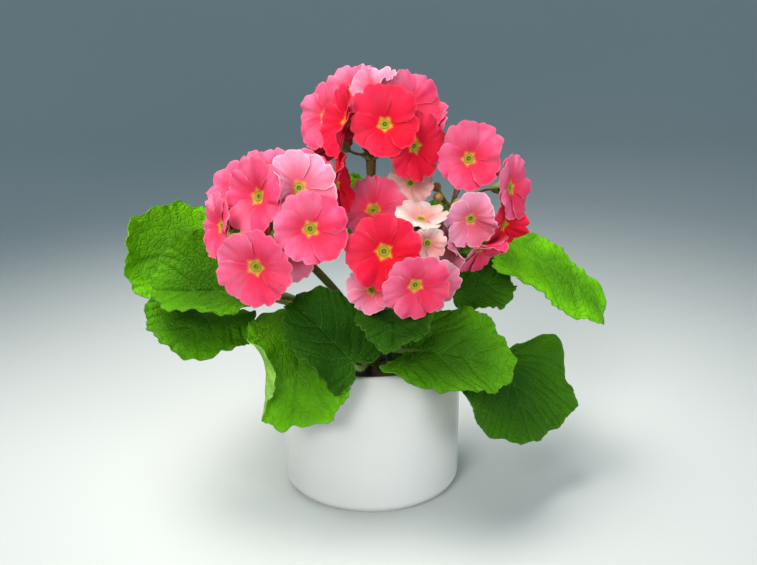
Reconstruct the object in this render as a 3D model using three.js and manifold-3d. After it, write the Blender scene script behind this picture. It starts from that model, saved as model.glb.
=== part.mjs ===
// A potted primrose with four flower heads, in millimetres.
// +Z is up, the origin is the centre of the pot's underside, and -Y is the front.

import * as THREE from "three";
import { mergeVertices } from "three/addons/utils/BufferGeometryUtils.js";
import Module from "manifold-3d";

const wasm = await Module();
wasm.setup();

// Driving dimensions of the pot and its soil
const POT_RADIUS = 62.5;
const POT_HEIGHT = 100;
const POT_WALL = 4;
const POT_FLOOR = 6;
const POT_FOOT_HEIGHT = 1.2;
const POT_FOOT_INSET = 5.5;
const POT_BASE_ROUNDING = 7;
const POT_BASE_START = 20;
const POT_SIDES = 40;
const POT_ARC_STEPS = 3;
const SOIL_BELOW_RIM = 12;
const SOIL_CROWN_RISE = 3;
const SOIL_CROWN_SHARE = 0.6;
const CLEARANCE = 0.3;

// Stems in the soil
const ROOT_DEPTH = 9;
const STRAIGHT_FOOT = 3;
const STEM_STEPS = 5;
const STALK_SIDES = 5;
const STALK_FOOT_RADIUS = 2.4;
const STALK_TOP_RADIUS = 1.7;
const SCAPE_SIDES = 6;
const SCAPE_RADIUS = 2.7;
const SCAPE_HEAD_SWELL = 1.3;
const SCAPE_RISE = 0.35;
const SCAPE_LEAD = 0.3;

// Leaf blades
const BLADE_THICKNESS = 0.9;
const BLADE_SPOKES = 28;
const BLADE_RINGS = [0.45, 0.8, 1];
const BLADE_CENTRE = 0.46;
const BLADE_HALF_LENGTH = 0.54;
const BLADE_SCALLOP = 0.03;
const BLADE_BEND_STEPS = 16;
const BLADE_EDGE = 1.05;
const WAVE_PHASE_STEP = 70;
const HOOK_START = 0.6;
const CURL_SPREAD = 0.3;
const TIP_POINT = { swell: 0.05, width: 22 };
const LOBE = { turn: 145, width: 24 };
const FOOT_NOTCH = { depth: 0.13, deepening: 0.12, width: 13 };
const RIB_TIP_RADIUS = 0.7;
const RIB_REACH = 0.16;
const RIB_SINK = 0.6;

// Flowers
const PETALS = 5;
const PETAL_SPOKES = 4;
const PETAL_THICKNESS = 0.7;
const PETAL_LAYER = 0.9;
const PETAL_CREST_ANGLE = 17;
const PETAL_NOTCH = 0.93;
const PETAL_GAP = 0.88;
const PETAL_MIDDLE = 0.6;
const PETAL_CUP = 14;
const PETAL_BENDS = [0, 10, -10, 20, -20, 32, -32, 45];
const OPENING_ROUNDS = 4;
const THROAT_RADIUS = 2.4;
const EYE_DEPTH = 1.2;
const TUBE_RADIUS = 1.6;
const TUBE_SHOWN = 6;
const CALYX_LENGTH = 8;
const CALYX_RADIUS = 4.2;
const CALYX_BASE_SWELL = 1.3;
const CALYX_SHOULDER = { along: 0.35, share: 0.75 };
const PEDICEL_RADIUS = 1.1;
const PEDICEL_SIDES = 5;
const PEDICEL_LEAVING = 0.4;
const PEDICEL_ARRIVING = 0.35;
const PEDICEL_STATIONS = [0, 0.4, 0.75];

const SOIL_EDGE = POT_HEIGHT - SOIL_BELOW_RIM;
const SOIL_TOP = SOIL_EDGE + SOIL_CROWN_RISE;
const TAU = 2 * Math.PI;
const MERGE_DISTANCE = 1e-4;

const COLOURS = {
  ceramic: 0xf1f0ec,
  compost: 0x3b2a1e,
  leaf: 0x3f8f1f,
  stalk: 0x6b6a35,
  coral: 0xf2364f,
  rose: 0xf4607f,
  blush: 0xf79fb0,
  cream: 0xf9d3c6,
};

function finish(colour, roughness) {
  return new THREE.MeshStandardMaterial({ color: colour, roughness, metalness: 0, flatShading: true });
}

// Small helpers

function radians(degrees) {
  return THREE.MathUtils.degToRad(degrees);
}

function smooth(from, to, value) {
  return THREE.MathUtils.smoothstep(value, from, to);
}

function bell(offset, width) {
  return Math.exp(-((offset / width) ** 2));
}

// A unit vector from its azimuth about +Z and its climb above the level, in degrees
function direction(azimuth, climb) {
  const level = Math.cos(radians(climb));
  return new THREE.Vector3(
    level * Math.cos(radians(azimuth)),
    level * Math.sin(radians(azimuth)),
    Math.sin(radians(climb)),
  );
}

// Closed skins: rings of points joined in order, from a first point to a last point.
// A ring may hold one point, as many as the ring before, or twice or half as many.
// After the turn ring the other diagonal is used, so both faces of a blade are split alike.
function skin(rings, turnRing = rings.length) {
  const positions = [];
  const numbered = rings.map((ring) => ring.map((point) => {
    positions.push(point.x, point.y, point.z);
    return positions.length / 3 - 1;
  }));
  const triangles = [];
  for (let r = 0; r + 1 < numbered.length; r += 1) {
    triangles.push(...strip(numbered[r], numbered[r + 1], r >= turnRing));
  }
  const geometry = new THREE.BufferGeometry();
  geometry.setAttribute("position", new THREE.Float32BufferAttribute(positions, 3));
  geometry.setIndex(triangles);
  return geometry;
}

function strip(first, second, otherDiagonal) {
  const triangles = [];
  const count = Math.min(first.length, second.length);
  const pick = (ring, i) => ring[i % ring.length];
  if (first.length === 1 || second.length === 1) {
    const ring = first.length === 1 ? second : first;
    for (let i = 0; i < ring.length; i += 1) {
      const edge = [pick(ring, i), pick(ring, i + 1)];
      triangles.push(...(first.length === 1 ? [first[0], ...edge] : [edge[1], edge[0], second[0]]));
    }
    return triangles;
  }
  for (let i = 0; i < count; i += 1) {
    if (first.length < second.length) {
      const tips = [pick(second, 2 * i), pick(second, 2 * i + 1), pick(second, 2 * i + 2)];
      triangles.push(first[i], tips[0], tips[1], first[i], tips[1], pick(first, i + 1));
      triangles.push(pick(first, i + 1), tips[1], tips[2]);
    } else if (first.length > second.length) {
      const tips = [pick(first, 2 * i), pick(first, 2 * i + 1), pick(first, 2 * i + 2)];
      triangles.push(tips[0], second[i], tips[1], tips[1], second[i], pick(second, i + 1));
      triangles.push(tips[1], pick(second, i + 1), tips[2]);
    } else if (otherDiagonal) {
      triangles.push(first[i], second[i], pick(first, i + 1));
      triangles.push(pick(first, i + 1), second[i], pick(second, i + 1));
    } else {
      triangles.push(first[i], second[i], pick(second, i + 1));
      triangles.push(first[i], pick(second, i + 1), pick(first, i + 1));
    }
  }
  return triangles;
}

// A round rod through stations of a centre and a radius, with flat ends
function rod(stations, sides) {
  const last = stations.length - 1;
  const normal = new THREE.Vector3(1, 0, 0);
  const rings = stations.map((station, i) => {
    const before = stations[Math.max(i - 1, 0)].centre;
    const after = stations[Math.min(i + 1, last)].centre;
    const tangent = after.clone().sub(before).normalize();
    if (i === 0 && Math.abs(tangent.x) > 0.9) {
      normal.set(0, 1, 0);
    }
    normal.addScaledVector(tangent, -normal.dot(tangent)).normalize();
    const side = normal.clone().cross(tangent);
    return Array.from({ length: sides }, (_, k) => {
      const turn = TAU * k / sides;
      return station.centre.clone()
        .addScaledVector(normal, station.radius * Math.cos(turn))
        .addScaledVector(side, station.radius * Math.sin(turn));
    });
  });
  return skin([[stations[0].centre], ...rings, [stations[last].centre]]);
}

// Joining and cutting

function welded(geometry) {
  const bare = geometry.clone();
  bare.deleteAttribute("normal");
  bare.deleteAttribute("uv");
  return mergeVertices(bare, MERGE_DISTANCE);
}

function solid(geometry) {
  const merged = welded(geometry);
  return new wasm.Manifold(new wasm.Mesh({
    numProp: 3,
    vertProperties: new Float32Array(merged.attributes.position.array),
    triVerts: new Uint32Array(merged.index.array),
  }));
}

function geometryOf(body) {
  const mesh = body.getMesh();
  const geometry = new THREE.BufferGeometry();
  geometry.setAttribute("position", new THREE.BufferAttribute(mesh.vertProperties, 3));
  geometry.setIndex(new THREE.BufferAttribute(mesh.triVerts, 1));
  return geometry;
}

function joined(bodies) {
  return bodies.reduce((whole, body) => whole.add(body));
}

// A profile in radius and height, from the axis and back to it, turned about +Z
function turned(profile) {
  const geometry = welded(new THREE.LatheGeometry(profile, POT_SIDES));
  geometry.rotateX(Math.PI / 2);
  const index = geometry.index.array;
  const kept = [];
  for (let i = 0; i < index.length; i += 3) {
    const [a, b, c] = index.slice(i, i + 3);
    if (a !== b && b !== c && a !== c) {
      kept.push(a, b, c);
    }
  }
  geometry.setIndex(kept);
  return solid(geometry);
}

// Pot and soil

function potGeometry() {
  const foot = POT_RADIUS - POT_FOOT_INSET;
  const inner = POT_RADIUS - POT_WALL;
  const lip = POT_WALL / 2;
  const base = new THREE.Path();
  base.moveTo(0, 0);
  base.lineTo(foot, 0);
  base.lineTo(foot, POT_FOOT_HEIGHT);
  base.absarc(POT_RADIUS - POT_BASE_ROUNDING, POT_FOOT_HEIGHT + POT_BASE_ROUNDING,
    POT_BASE_ROUNDING, radians(POT_BASE_START) - Math.PI / 2, 0);
  base.absarc(POT_RADIUS - lip, POT_HEIGHT - lip, lip, 0, Math.PI);
  base.lineTo(inner, POT_FLOOR + POT_WALL);
  base.lineTo(inner - POT_WALL, POT_FLOOR);
  base.lineTo(0, POT_FLOOR);
  return geometryOf(turned(base.getPoints(POT_ARC_STEPS)));
}

// The soil fills the pot and has a plain hole for each stem
function soilGeometry(stemFeet) {
  const radius = POT_RADIUS - POT_WALL - CLEARANCE;
  const floor = POT_FLOOR + CLEARANCE;
  const body = turned([
    new THREE.Vector2(0, floor),
    new THREE.Vector2(radius - POT_WALL - CLEARANCE, floor),
    new THREE.Vector2(radius, floor + POT_WALL + CLEARANCE),
    new THREE.Vector2(radius, SOIL_EDGE),
    new THREE.Vector2(radius * SOIL_CROWN_SHARE, SOIL_TOP),
    new THREE.Vector2(0, SOIL_TOP),
  ]);
  const holes = stemFeet.map((foot) => {
    const radiusOfHole = foot.radius + 2 * CLEARANCE;
    return solid(rod([
      { centre: new THREE.Vector3(foot.x, foot.y, SOIL_EDGE - ROOT_DEPTH - CLEARANCE), radius: radiusOfHole },
      { centre: new THREE.Vector3(foot.x, foot.y, SOIL_TOP + CLEARANCE), radius: radiusOfHole },
    ], SCAPE_SIDES));
  });
  return geometryOf(body.subtract(joined(holes)));
}

// Leaves

const LEAF_DEFAULTS = {
  roll: 0, droop: 20, hook: 0, fold: 6, cup: 10, lobes: 0.1, rise: 30, lead: 25,
  curl: [0, 0], curlFrom: [-1, -1], curlStart: 0.5, wave: 3, waves: 5,
};

// The flat outline of a blade: broad, with a blunt tip and a heart-shaped foot
function outlineReach(leaf, turn) {
  const degrees = Math.abs(THREE.MathUtils.radToDeg(Math.atan2(Math.sin(turn), Math.cos(turn))));
  const notch = FOOT_NOTCH.depth + FOOT_NOTCH.deepening * leaf.lobes;
  return 1 + TIP_POINT.swell * bell(degrees, TIP_POINT.width)
    + leaf.lobes * bell(degrees - LOBE.turn, LOBE.width)
    - notch * bell(degrees - 180, FOOT_NOTCH.width);
}

// A blade is a flat sheet, bent along its midrib and across it, and waved towards its margin.
// It gives the place of the point that lies so far along the midrib and so far to its left.
function bladePoint(leaf, along, across) {
  const ahead = direction(leaf.heading[0], leaf.heading[1]);
  const level = new THREE.Vector3(-Math.sin(radians(leaf.heading[0])), Math.cos(radians(leaf.heading[0])), 0);
  const up = ahead.clone().cross(level);
  const roll = radians(leaf.roll);
  const left = level.clone().multiplyScalar(Math.cos(roll)).addScaledVector(up, Math.sin(roll));
  const normal = up.clone().multiplyScalar(Math.cos(roll)).addScaledVector(level, -Math.sin(roll));
  const bendAt = (share) => radians(leaf.droop * share + leaf.hook * smooth(HOOK_START, BLADE_EDGE, share));
  const point = new THREE.Vector3(...leaf.joint);
  const step = along / BLADE_BEND_STEPS;
  for (let i = 0; i < BLADE_BEND_STEPS; i += 1) {
    const bend = bendAt((i + 0.5) * step / leaf.length);
    point.addScaledVector(ahead, Math.cos(bend) * step);
    point.addScaledVector(normal, -Math.sin(bend) * step);
  }
  const bend = bendAt(along / leaf.length);
  const face = normal.clone().multiplyScalar(Math.cos(bend)).addScaledVector(ahead, Math.sin(bend));

  const half = leaf.width / 2;
  const reach = Math.abs(across) / half;
  const hand = across > 0 ? 0 : 1;
  const start = leaf.curlFrom[hand];
  const curl = leaf.curl[hand] * smooth(start, start + CURL_SPREAD, along / leaf.length);
  let lateral = 0;
  let height = 0;
  for (let i = 0; i < BLADE_BEND_STEPS; i += 1) {
    const share = (i + 0.5) / BLADE_BEND_STEPS * reach;
    const slope = radians(leaf.fold + leaf.cup * share + curl * smooth(leaf.curlStart, BLADE_EDGE, share));
    lateral += Math.cos(slope) * Math.abs(across) / BLADE_BEND_STEPS;
    height += Math.sin(slope) * Math.abs(across) / BLADE_BEND_STEPS;
  }
  const ovalAlong = (along / leaf.length - BLADE_CENTRE) / BLADE_HALF_LENGTH;
  const ovalReach = Math.hypot(ovalAlong, reach);
  const ovalTurn = Math.atan2(across / half, ovalAlong);
  height += leaf.wave * ovalReach ** 3 * Math.sin(leaf.waves * ovalTurn + radians(leaf.phase));
  return point.addScaledVector(left, Math.sign(across) * lateral).addScaledVector(face, height);
}

function bladeNormal(leaf, along, across) {
  const step = 0.4;
  const ahead = bladePoint(leaf, along + step, across).sub(bladePoint(leaf, along - step, across));
  const left = bladePoint(leaf, along, across + step).sub(bladePoint(leaf, along, across - step));
  return ahead.cross(left).normalize();
}

function bladeGeometry(leaf) {
  const flatPlace = (turn, share) => [
    leaf.length * (BLADE_CENTRE + BLADE_HALF_LENGTH * share * Math.cos(turn)),
    leaf.width / 2 * share * Math.sin(turn),
  ];
  const places = [[flatPlace(0, 0)]];
  BLADE_RINGS.forEach((share, r) => {
    const spokes = r === 0 ? BLADE_SPOKES / 2 : BLADE_SPOKES;
    places.push(Array.from({ length: spokes }, (_, k) => {
      const turn = TAU * k / spokes;
      const scallop = r === BLADE_RINGS.length - 1 ? BLADE_SCALLOP * (k % 2 === 0 ? -1 : 1) : 0;
      return flatPlace(turn, share * (outlineReach(leaf, turn) + scallop));
    }));
  });
  const face = (offset) => places.map((ring) => ring.map((place) => (
    bladePoint(leaf, ...place).addScaledVector(bladeNormal(leaf, ...place), offset)
  )));
  const top = face(BLADE_THICKNESS / 2);
  const bottom = face(-BLADE_THICKNESS / 2);
  return skin([...top, ...bottom.reverse()], top.length);
}

// The stalk stands in the soil, bends to its blade and runs on under it as the midrib
function leafStalkStations(leaf) {
  const foot = new THREE.Vector3(leaf.foot[0], leaf.foot[1], SOIL_EDGE - ROOT_DEPTH);
  const collar = foot.clone().setZ(SOIL_TOP + STRAIGHT_FOOT);
  const under = (along, radius) => bladePoint(leaf, along, 0)
    .addScaledVector(bladeNormal(leaf, along, 0), -radius * RIB_SINK);
  const joint = under(0, STALK_TOP_RADIUS);
  const ahead = under(2, STALK_TOP_RADIUS).sub(joint).normalize();
  const path = new THREE.CubicBezierCurve3(
    collar,
    collar.clone().setZ(collar.z + leaf.rise),
    joint.clone().addScaledVector(ahead, -leaf.lead),
    joint,
  );
  const stations = [{ centre: foot, radius: STALK_FOOT_RADIUS }];
  for (let i = 0; i <= STEM_STEPS; i += 1) {
    const share = i / STEM_STEPS;
    const radius = THREE.MathUtils.lerp(STALK_FOOT_RADIUS, STALK_TOP_RADIUS, share);
    stations.push({ centre: path.getPoint(share), radius });
  }
  stations.push({ centre: under(RIB_REACH * leaf.length, RIB_TIP_RADIUS), radius: RIB_TIP_RADIUS });
  return stations;
}

function leafSolid(leaf) {
  return solid(bladeGeometry(leaf)).add(solid(rod(leafStalkStations(leaf), STALK_SIDES)));
}

// A leaf's joint is where its stalk meets its blade, its heading is the midrib's azimuth and climb there,
// and its foot is where the stalk leaves the soil. Curl laps over the margin on the left and on the right.
const LEAVES = [
  // back left of the pot, high, facing the front right, with its tip turned up
  { joint: [-97, 10, 146], heading: [175, 18], roll: -48, length: 80, width: 82, droop: -10, hook: -50,
    fold: 2, cup: 16, foot: [-16, 6], lead: 40 },
  // left, in front of the first one, folded up along its midrib
  { joint: [-83, -29, 147], heading: [195, 6], roll: -35, length: 58, width: 82, droop: 6, fold: 30, cup: 6,
    foot: [-13, -5], lead: 28, rise: 36 },
  // low left, sloping down to the front
  { joint: [-100, -22, 137], heading: [246, -10], roll: -20, length: 56, width: 72, droop: 12, fold: 2,
    foot: [-15, -12], lead: 40 },
  // front left, lying over the rim and hanging down the pot, its left margin lapped over
  { joint: [-46, -34, 128], heading: [275, 4], roll: -6, length: 82, width: 70, droop: 112, cup: 8,
    curl: [0, 160], curlFrom: [-1, 0.33], curlStart: 0.3, foot: [-10, -18], lead: 15, rise: 14, lobes: 0.25 },
  // front, standing up and leaning to the left over the rim
  { joint: [-11, -72, 114], heading: [168, 48], roll: -42, length: 54, width: 56, droop: 16, fold: 14, cup: 7,
    foot: [-3, -19], lead: 12, rise: 4, lobes: 0.35 },
  // small young leaf at the front, cupped
  { joint: [15, -50, 141], heading: [268, -8], roll: 0, length: 42, width: 50, droop: 16, fold: 12, cup: 12,
    foot: [3, -22], lead: 12, rise: 21 },
  // front right, large, cupped and lying over the rim
  { joint: [23, -53, 116], heading: [-18, 4], roll: 26, length: 68, width: 72, droop: 28, fold: 8, cup: 6,
    foot: [13, -14], lead: 18, rise: 11, lobes: 0.3 },
  // low right, hanging beside the pot with its face to the front
  { joint: [89, -21, 97], heading: [-60, -42], roll: -15, length: 58, width: 112, droop: 22, fold: 0,
    foot: [16, -8], lead: 26, rise: 25, lobes: 0.45 },
  // middle right, in the shade behind the flowers
  { joint: [57, 3, 140], heading: [2, 10], roll: 38, length: 42, width: 50, droop: 20, foot: [18, -1] },
  // high right, narrow and drooping, with its tip turned under
  { joint: [93, 14, 168], heading: [-3, -22], roll: 34, length: 98, width: 52, droop: 28, hook: 15, fold: -14,
    foot: [17, 6], lead: 40 },
  // tall back leaf, its tip showing above the flower heads
  { joint: [2, 42, 152], heading: [150, 60], roll: -10, length: 68, width: 44, droop: -8,
    foot: [3, 17], lead: 35 },
  // back right
  { joint: [48, 42, 155], heading: [44, 30], roll: 20, length: 64, width: 64, droop: 30, cup: 16,
    foot: [13, 12], lead: 36, rise: 23 },
  // back left, low
  { joint: [-52, 46, 150], heading: [140, 20], roll: -10, length: 84, width: 84, droop: 38, foot: [-10, 14],
    lead: 29, rise: 23 },
].map((leaf, i) => ({ ...LEAF_DEFAULTS, phase: WAVE_PHASE_STEP * i, ...leaf }));

// Flowers

// One opened flower on its own axis: a short tube, a sunk eye and five notched petals,
// each of which lies with one side over its neighbour. Z is its outward axis.
function bloomGeometry(bloom, thickness) {
  const spokes = PETALS * PETAL_SPOKES;
  const pitch = 360 / PETALS;
  const turns = [0, PETAL_CREST_ANGLE, pitch / 2, pitch - PETAL_CREST_ANGLE];
  const spokeOf = (k) => {
    const petal = Math.floor(k / PETAL_SPOKES);
    const kind = k % PETAL_SPOKES;
    const previous = (petal + PETALS - 1) % PETALS;
    const own = { lift: bloom.lifts[petal], size: bloom.sizes[petal] };
    const before = { lift: bloom.lifts[previous], size: bloom.sizes[previous] };
    return {
      turn: radians(bloom.roll + petal * pitch + turns[kind]),
      reach: [PETAL_GAP, 1, PETAL_NOTCH, 1][kind] * (kind === 0 ? Math.min(own.size, before.size) : own.size),
      layer: [0, PETAL_LAYER, 0, -PETAL_LAYER][kind],
      lift: kind === 0 ? (own.lift + before.lift) / 2 : own.lift,
    };
  };
  const place = (k, share, offset) => {
    const spoke = spokeOf(k);
    const length = (bloom.radius * spoke.reach - THROAT_RADIUS) * share;
    const slope = radians(spoke.lift + PETAL_CUP);
    const out = THROAT_RADIUS + Math.cos(slope) * length;
    const height = Math.sin(slope) * length + spoke.layer * share + offset;
    return new THREE.Vector3(out * Math.cos(spoke.turn), out * Math.sin(spoke.turn), height);
  };
  const ring = (share, offset, skip) => (
    Array.from({ length: spokes / skip }, (_, k) => place(k * skip, share, offset))
  );
  const circle = (radius, height) => Array.from({ length: PETALS }, (_, k) => {
    const turn = spokeOf(k * PETAL_SPOKES).turn;
    return new THREE.Vector3(radius * Math.cos(turn), radius * Math.sin(turn), height);
  });
  const half = thickness / 2;
  const middle = (PETAL_MIDDLE * bloom.radius - THROAT_RADIUS) / (bloom.radius - THROAT_RADIUS);
  const upper = [circle(THROAT_RADIUS, half), ring(middle, half, 2), ring(1, half, 1)];
  const lower = [ring(1, -half, 1), ring(middle, -half, 2), circle(THROAT_RADIUS, -half - EYE_DEPTH)];
  const geometry = skin([
    [new THREE.Vector3(0, 0, half - EYE_DEPTH)],
    ...upper,
    ...lower,
    circle(TUBE_RADIUS, -TUBE_SHOWN),
    [new THREE.Vector3(0, 0, -TUBE_SHOWN)],
  ], upper.length + 1);
  const axis = direction(...bloom.face);
  geometry.applyQuaternion(new THREE.Quaternion().setFromUnitVectors(new THREE.Vector3(0, 0, 1), axis));
  geometry.translate(...bloom.eye.toArray());
  return geometry;
}

// The stalk of one flower, from the head's hub to the flat mouth of the green cup under its tube
function pedicelGeometry(hub, bloom) {
  const axis = direction(...bloom.face);
  const mouth = bloom.eye.clone().addScaledVector(axis, -TUBE_SHOWN - CLEARANCE);
  const base = mouth.clone().addScaledVector(axis, -CALYX_LENGTH);
  const shoulder = base.clone().addScaledVector(axis, CALYX_LENGTH * CALYX_SHOULDER.along);
  const span = base.distanceTo(hub);
  const path = new THREE.CubicBezierCurve3(
    hub,
    hub.clone().addScaledVector(direction(...bloom.seat), span * PEDICEL_LEAVING),
    base.clone().addScaledVector(axis, -span * PEDICEL_ARRIVING),
    base,
  );
  return rod([
    ...PEDICEL_STATIONS.map((share) => ({ centre: path.getPoint(share), radius: PEDICEL_RADIUS })),
    { centre: base, radius: PEDICEL_RADIUS * CALYX_BASE_SWELL },
    { centre: shoulder, radius: CALYX_RADIUS * CALYX_SHOULDER.share },
    { centre: mouth, radius: CALYX_RADIUS },
  ], PEDICEL_SIDES);
}

// A closed bud on its stalk, pear-shaped, twice as long as it is wide
function budGeometry(hub, bud) {
  const [azimuth, climb, reach] = bud.seat;
  const station = (back, share, least = 0) => ({
    centre: hub.clone().addScaledVector(direction(azimuth, climb), reach - bud.size * back),
    radius: bud.size * share + least,
  });
  return rod([
    { centre: hub, radius: PEDICEL_RADIUS },
    station(2, 0, PEDICEL_RADIUS),
    station(1.4, 0.8),
    station(0.5, 1),
    station(0, 0.4),
  ], PEDICEL_SIDES);
}

function scapeGeometry(umbel) {
  const foot = new THREE.Vector3(umbel.foot[0], umbel.foot[1], SOIL_EDGE - ROOT_DEPTH);
  const collar = foot.clone().setZ(SOIL_TOP + STRAIGHT_FOOT);
  const hub = new THREE.Vector3(...umbel.hub);
  const span = collar.distanceTo(hub);
  const path = new THREE.CubicBezierCurve3(
    collar,
    collar.clone().setZ(collar.z + span * SCAPE_RISE),
    hub.clone().addScaledVector(direction(...umbel.arrival), -span * SCAPE_LEAD),
    hub,
  );
  const stations = [{ centre: foot, radius: SCAPE_RADIUS }];
  for (let i = 0; i <= STEM_STEPS; i += 1) {
    const radius = i < STEM_STEPS ? SCAPE_RADIUS : SCAPE_RADIUS * SCAPE_HEAD_SWELL;
    stations.push({ centre: path.getPoint(i / STEM_STEPS), radius });
  }
  return rod(stations, SCAPE_SIDES);
}

const LONG_TOP = [1.18, 1.18, 1, 1, 1];
const BLOOM_DEFAULTS = {
  radius: 21, roll: 0, lifts: [0, 0, 0, 0, 0], sizes: [1, 1, 1, 1, 1], tint: "rose",
};

// Each flower's seat is its azimuth, climb and reach from the hub, and face is where it looks.
// Its lifts are how far each petal stands up from the open flower, in degrees,
// and its sizes are each petal's length as a share of the flower's radius.
const UMBELS = {
  top: {
    hub: [0, 4, 231], foot: [1, 7], arrival: [90, 88],
    blooms: [
      { seat: [-76, 35, 45], face: [-90, 16], tint: "coral", roll: 18, radius: 22, sizes: LONG_TOP },
      { seat: [-46, 16, 41], face: [-54, 0], tint: "coral", roll: 0, radius: 23 },
      { seat: [-120, 42, 39], face: [-146, 16], tint: "coral", roll: 30, radius: 25 },
      { seat: [178, 42, 40], face: [-150, 18], tint: "rose", roll: 10, radius: 24 },
      { seat: [-15, 54, 42], face: [-58, 34], tint: "rose", roll: 40, radius: 24 },
      { seat: [160, 74, 45], face: [-112, 50], tint: "rose", roll: 20, radius: 21 },
      { seat: [-70, 76, 45], face: [-84, 68], tint: "blush", roll: 50, radius: 20 },
      { seat: [35, 60, 46], face: [-40, 52], tint: "blush", roll: 10, radius: 21 },
      { seat: [4, 27, 44], face: [-2, 12], tint: "rose", roll: 30, radius: 19 },
      { seat: [105, 44, 40], face: [95, 40], tint: "rose", roll: 0, radius: 21 },
      { seat: [135, 12, 36], face: [142, 24], tint: "coral", roll: 12, radius: 21 },
      { seat: [52, 20, 40], face: [44, 18], tint: "rose", roll: 25, radius: 21 },
    ],
    buds: [],
  },
  left: {
    hub: [-59, -30, 192], foot: [-7, 1], arrival: [200, 62],
    blooms: [
      { seat: [-102, -18, 48], face: [-102, -3], tint: "rose", roll: 20, radius: 25 },
      { seat: [-60, 9, 47], face: [-84, 10], tint: "rose", roll: 8, radius: 24 },
      { seat: [-107, 40, 38], face: [-130, 16], tint: "rose", roll: 30, radius: 25 },
      { seat: [-57, 45, 41], face: [-78, 26], tint: "blush", roll: 15, radius: 24 },
      { seat: [-72, -15, 37], face: [-62, -10], tint: "blush", roll: 0, radius: 19, lifts: [0, 30, 0, 0, 0] },
      { seat: [-140, 8, 42], face: [-150, 10], tint: "rose", roll: 12, radius: 21 },
      { seat: [178, 42, 36], face: [-135, 40], tint: "rose", roll: 33, radius: 22 },
      { seat: [-118, 76, 34], face: [-100, 58], tint: "rose", roll: 45, radius: 21 },
      { seat: [25, 62, 38], face: [-66, 60], tint: "rose", roll: 5, radius: 20 },
      { seat: [10, 36, 46], face: [-14, 16], tint: "coral", roll: 22, radius: 22 },
      { seat: [114, 38, 36], face: [110, 34], tint: "rose", roll: 40, radius: 21 },
      { seat: [160, 8, 37], face: [160, 10], tint: "rose", roll: 3, radius: 20 },
    ],
    buds: [{ seat: [-104, 8, 36], size: 6 }],
  },
  right: {
    hub: [54, 8, 196], foot: [8, 3], arrival: [10, 70],
    blooms: [
      { seat: [-66, 58, 43], face: [-84, 12], tint: "rose", roll: 12, radius: 22, sizes: LONG_TOP },
      { seat: [-8, 20, 42], face: [-34, 8], tint: "rose", roll: 30, radius: 23 },
      { seat: [-74, 0, 37], face: [-70, -8], tint: "blush", roll: 0, radius: 20, lifts: [45, 0, 0, 0, 0] },
      { seat: [-50, -38, 37], face: [-48, -34], tint: "rose", roll: 22, radius: 21 },
      { seat: [-90, -29, 39], face: [-148, -4], tint: "blush", roll: 10, radius: 16 },
      { seat: [60, 36, 40], face: [60, 34], tint: "rose", roll: 10, radius: 21 },
      { seat: [-12, -16, 38], face: [-20, -12], tint: "coral", roll: 35, radius: 21 },
    ],
    buds: [
      { seat: [-150, 52, 22], size: 3.2 },
      { seat: [-125, 30, 22], size: 3.2 },
      { seat: [-80, 20, 22], size: 3 },
    ],
  },
  centre: {
    hub: [21, -18, 171], foot: [4, -5], arrival: [-40, 80],
    blooms: [
      { seat: [-105, 15, 51], face: [-90, 8], tint: "coral", roll: 0, radius: 24.5 },
      { seat: [-84, -5, 58], face: [-76, -10], tint: "rose", roll: 25, radius: 22 },
      { seat: [165, 54, 34], face: [-108, 54], tint: "rose", roll: 10, radius: 26 },
      { seat: [-62, 50, 36], face: [-70, 70], tint: "cream", roll: 30, radius: 18 },
      { seat: [-68, 22, 41], face: [-76, 14], tint: "cream", roll: 0, radius: 12.5 },
      { seat: [60, 78, 46], face: [-88, 30], tint: "cream", roll: 12, radius: 16 },
      { seat: [-118, -18, 46], face: [-110, -4], tint: "blush", roll: 20, radius: 17 },
      { seat: [-64, -14, 43], face: [-62, -14], tint: "blush", roll: 8, radius: 19 },
    ],
    buds: [],
  },
};

function seatedBloom(umbelName, index) {
  const umbel = UMBELS[umbelName];
  const bloom = { ...BLOOM_DEFAULTS, ...umbel.blooms[index] };
  const [azimuth, climb, reach] = bloom.seat;
  const hub = new THREE.Vector3(...umbel.hub);
  bloom.eye = hub.clone().addScaledVector(direction(azimuth, climb), reach);
  return {
    name: `bloom_${umbelName}_${index + 1}`,
    umbelName,
    bloom,
    stalk: solid(pedicelGeometry(hub, bloom)),
  };
}

function boxOf(body) {
  const { min, max } = body.boundingBox();
  return new THREE.Box3(new THREE.Vector3(...min), new THREE.Vector3(...max));
}

// A petal that would meet what stands near its flower bends up or down until it is clear.
// The petals take turns, and each keeps the bend that leaves the least crossing.
// At the end each petal eases back to the least bend that keeps it as clear.
function bentClear(bloom, standing) {
  const size = 2.2 * bloom.radius;
  const zone = new THREE.Box3().setFromCenterAndSize(bloom.eye, new THREE.Vector3(size, size, size));
  const near = standing.filter((body) => boxOf(body).intersectsBox(zone));
  const crossing = (lifts) => {
    const roomy = solid(bloomGeometry({ ...bloom, lifts }, PETAL_THICKNESS + 2 * CLEARANCE));
    return near.reduce((sum, body) => sum + roomy.intersect(body).volume(), 0);
  };
  let best = { lifts: bloom.lifts, left: crossing(bloom.lifts) };
  const bent = (petal, bend) => best.lifts.map((lift, k) => (k === petal ? bloom.lifts[k] + bend : lift));
  for (let turn = 0; turn < 2 * PETALS && best.left > 0; turn += 1) {
    for (const bend of PETAL_BENDS) {
      const lifts = bent(turn % PETALS, bend);
      const left = crossing(lifts);
      if (left < best.left) {
        best = { lifts, left };
      }
    }
  }
  for (let petal = 0; petal < PETALS; petal += 1) {
    const eased = PETAL_BENDS.find((bend) => crossing(bent(petal, bend)) <= best.left);
    best.lifts = bent(petal, eased ?? best.lifts[petal] - bloom.lifts[petal]);
  }
  return best.lifts;
}

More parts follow.
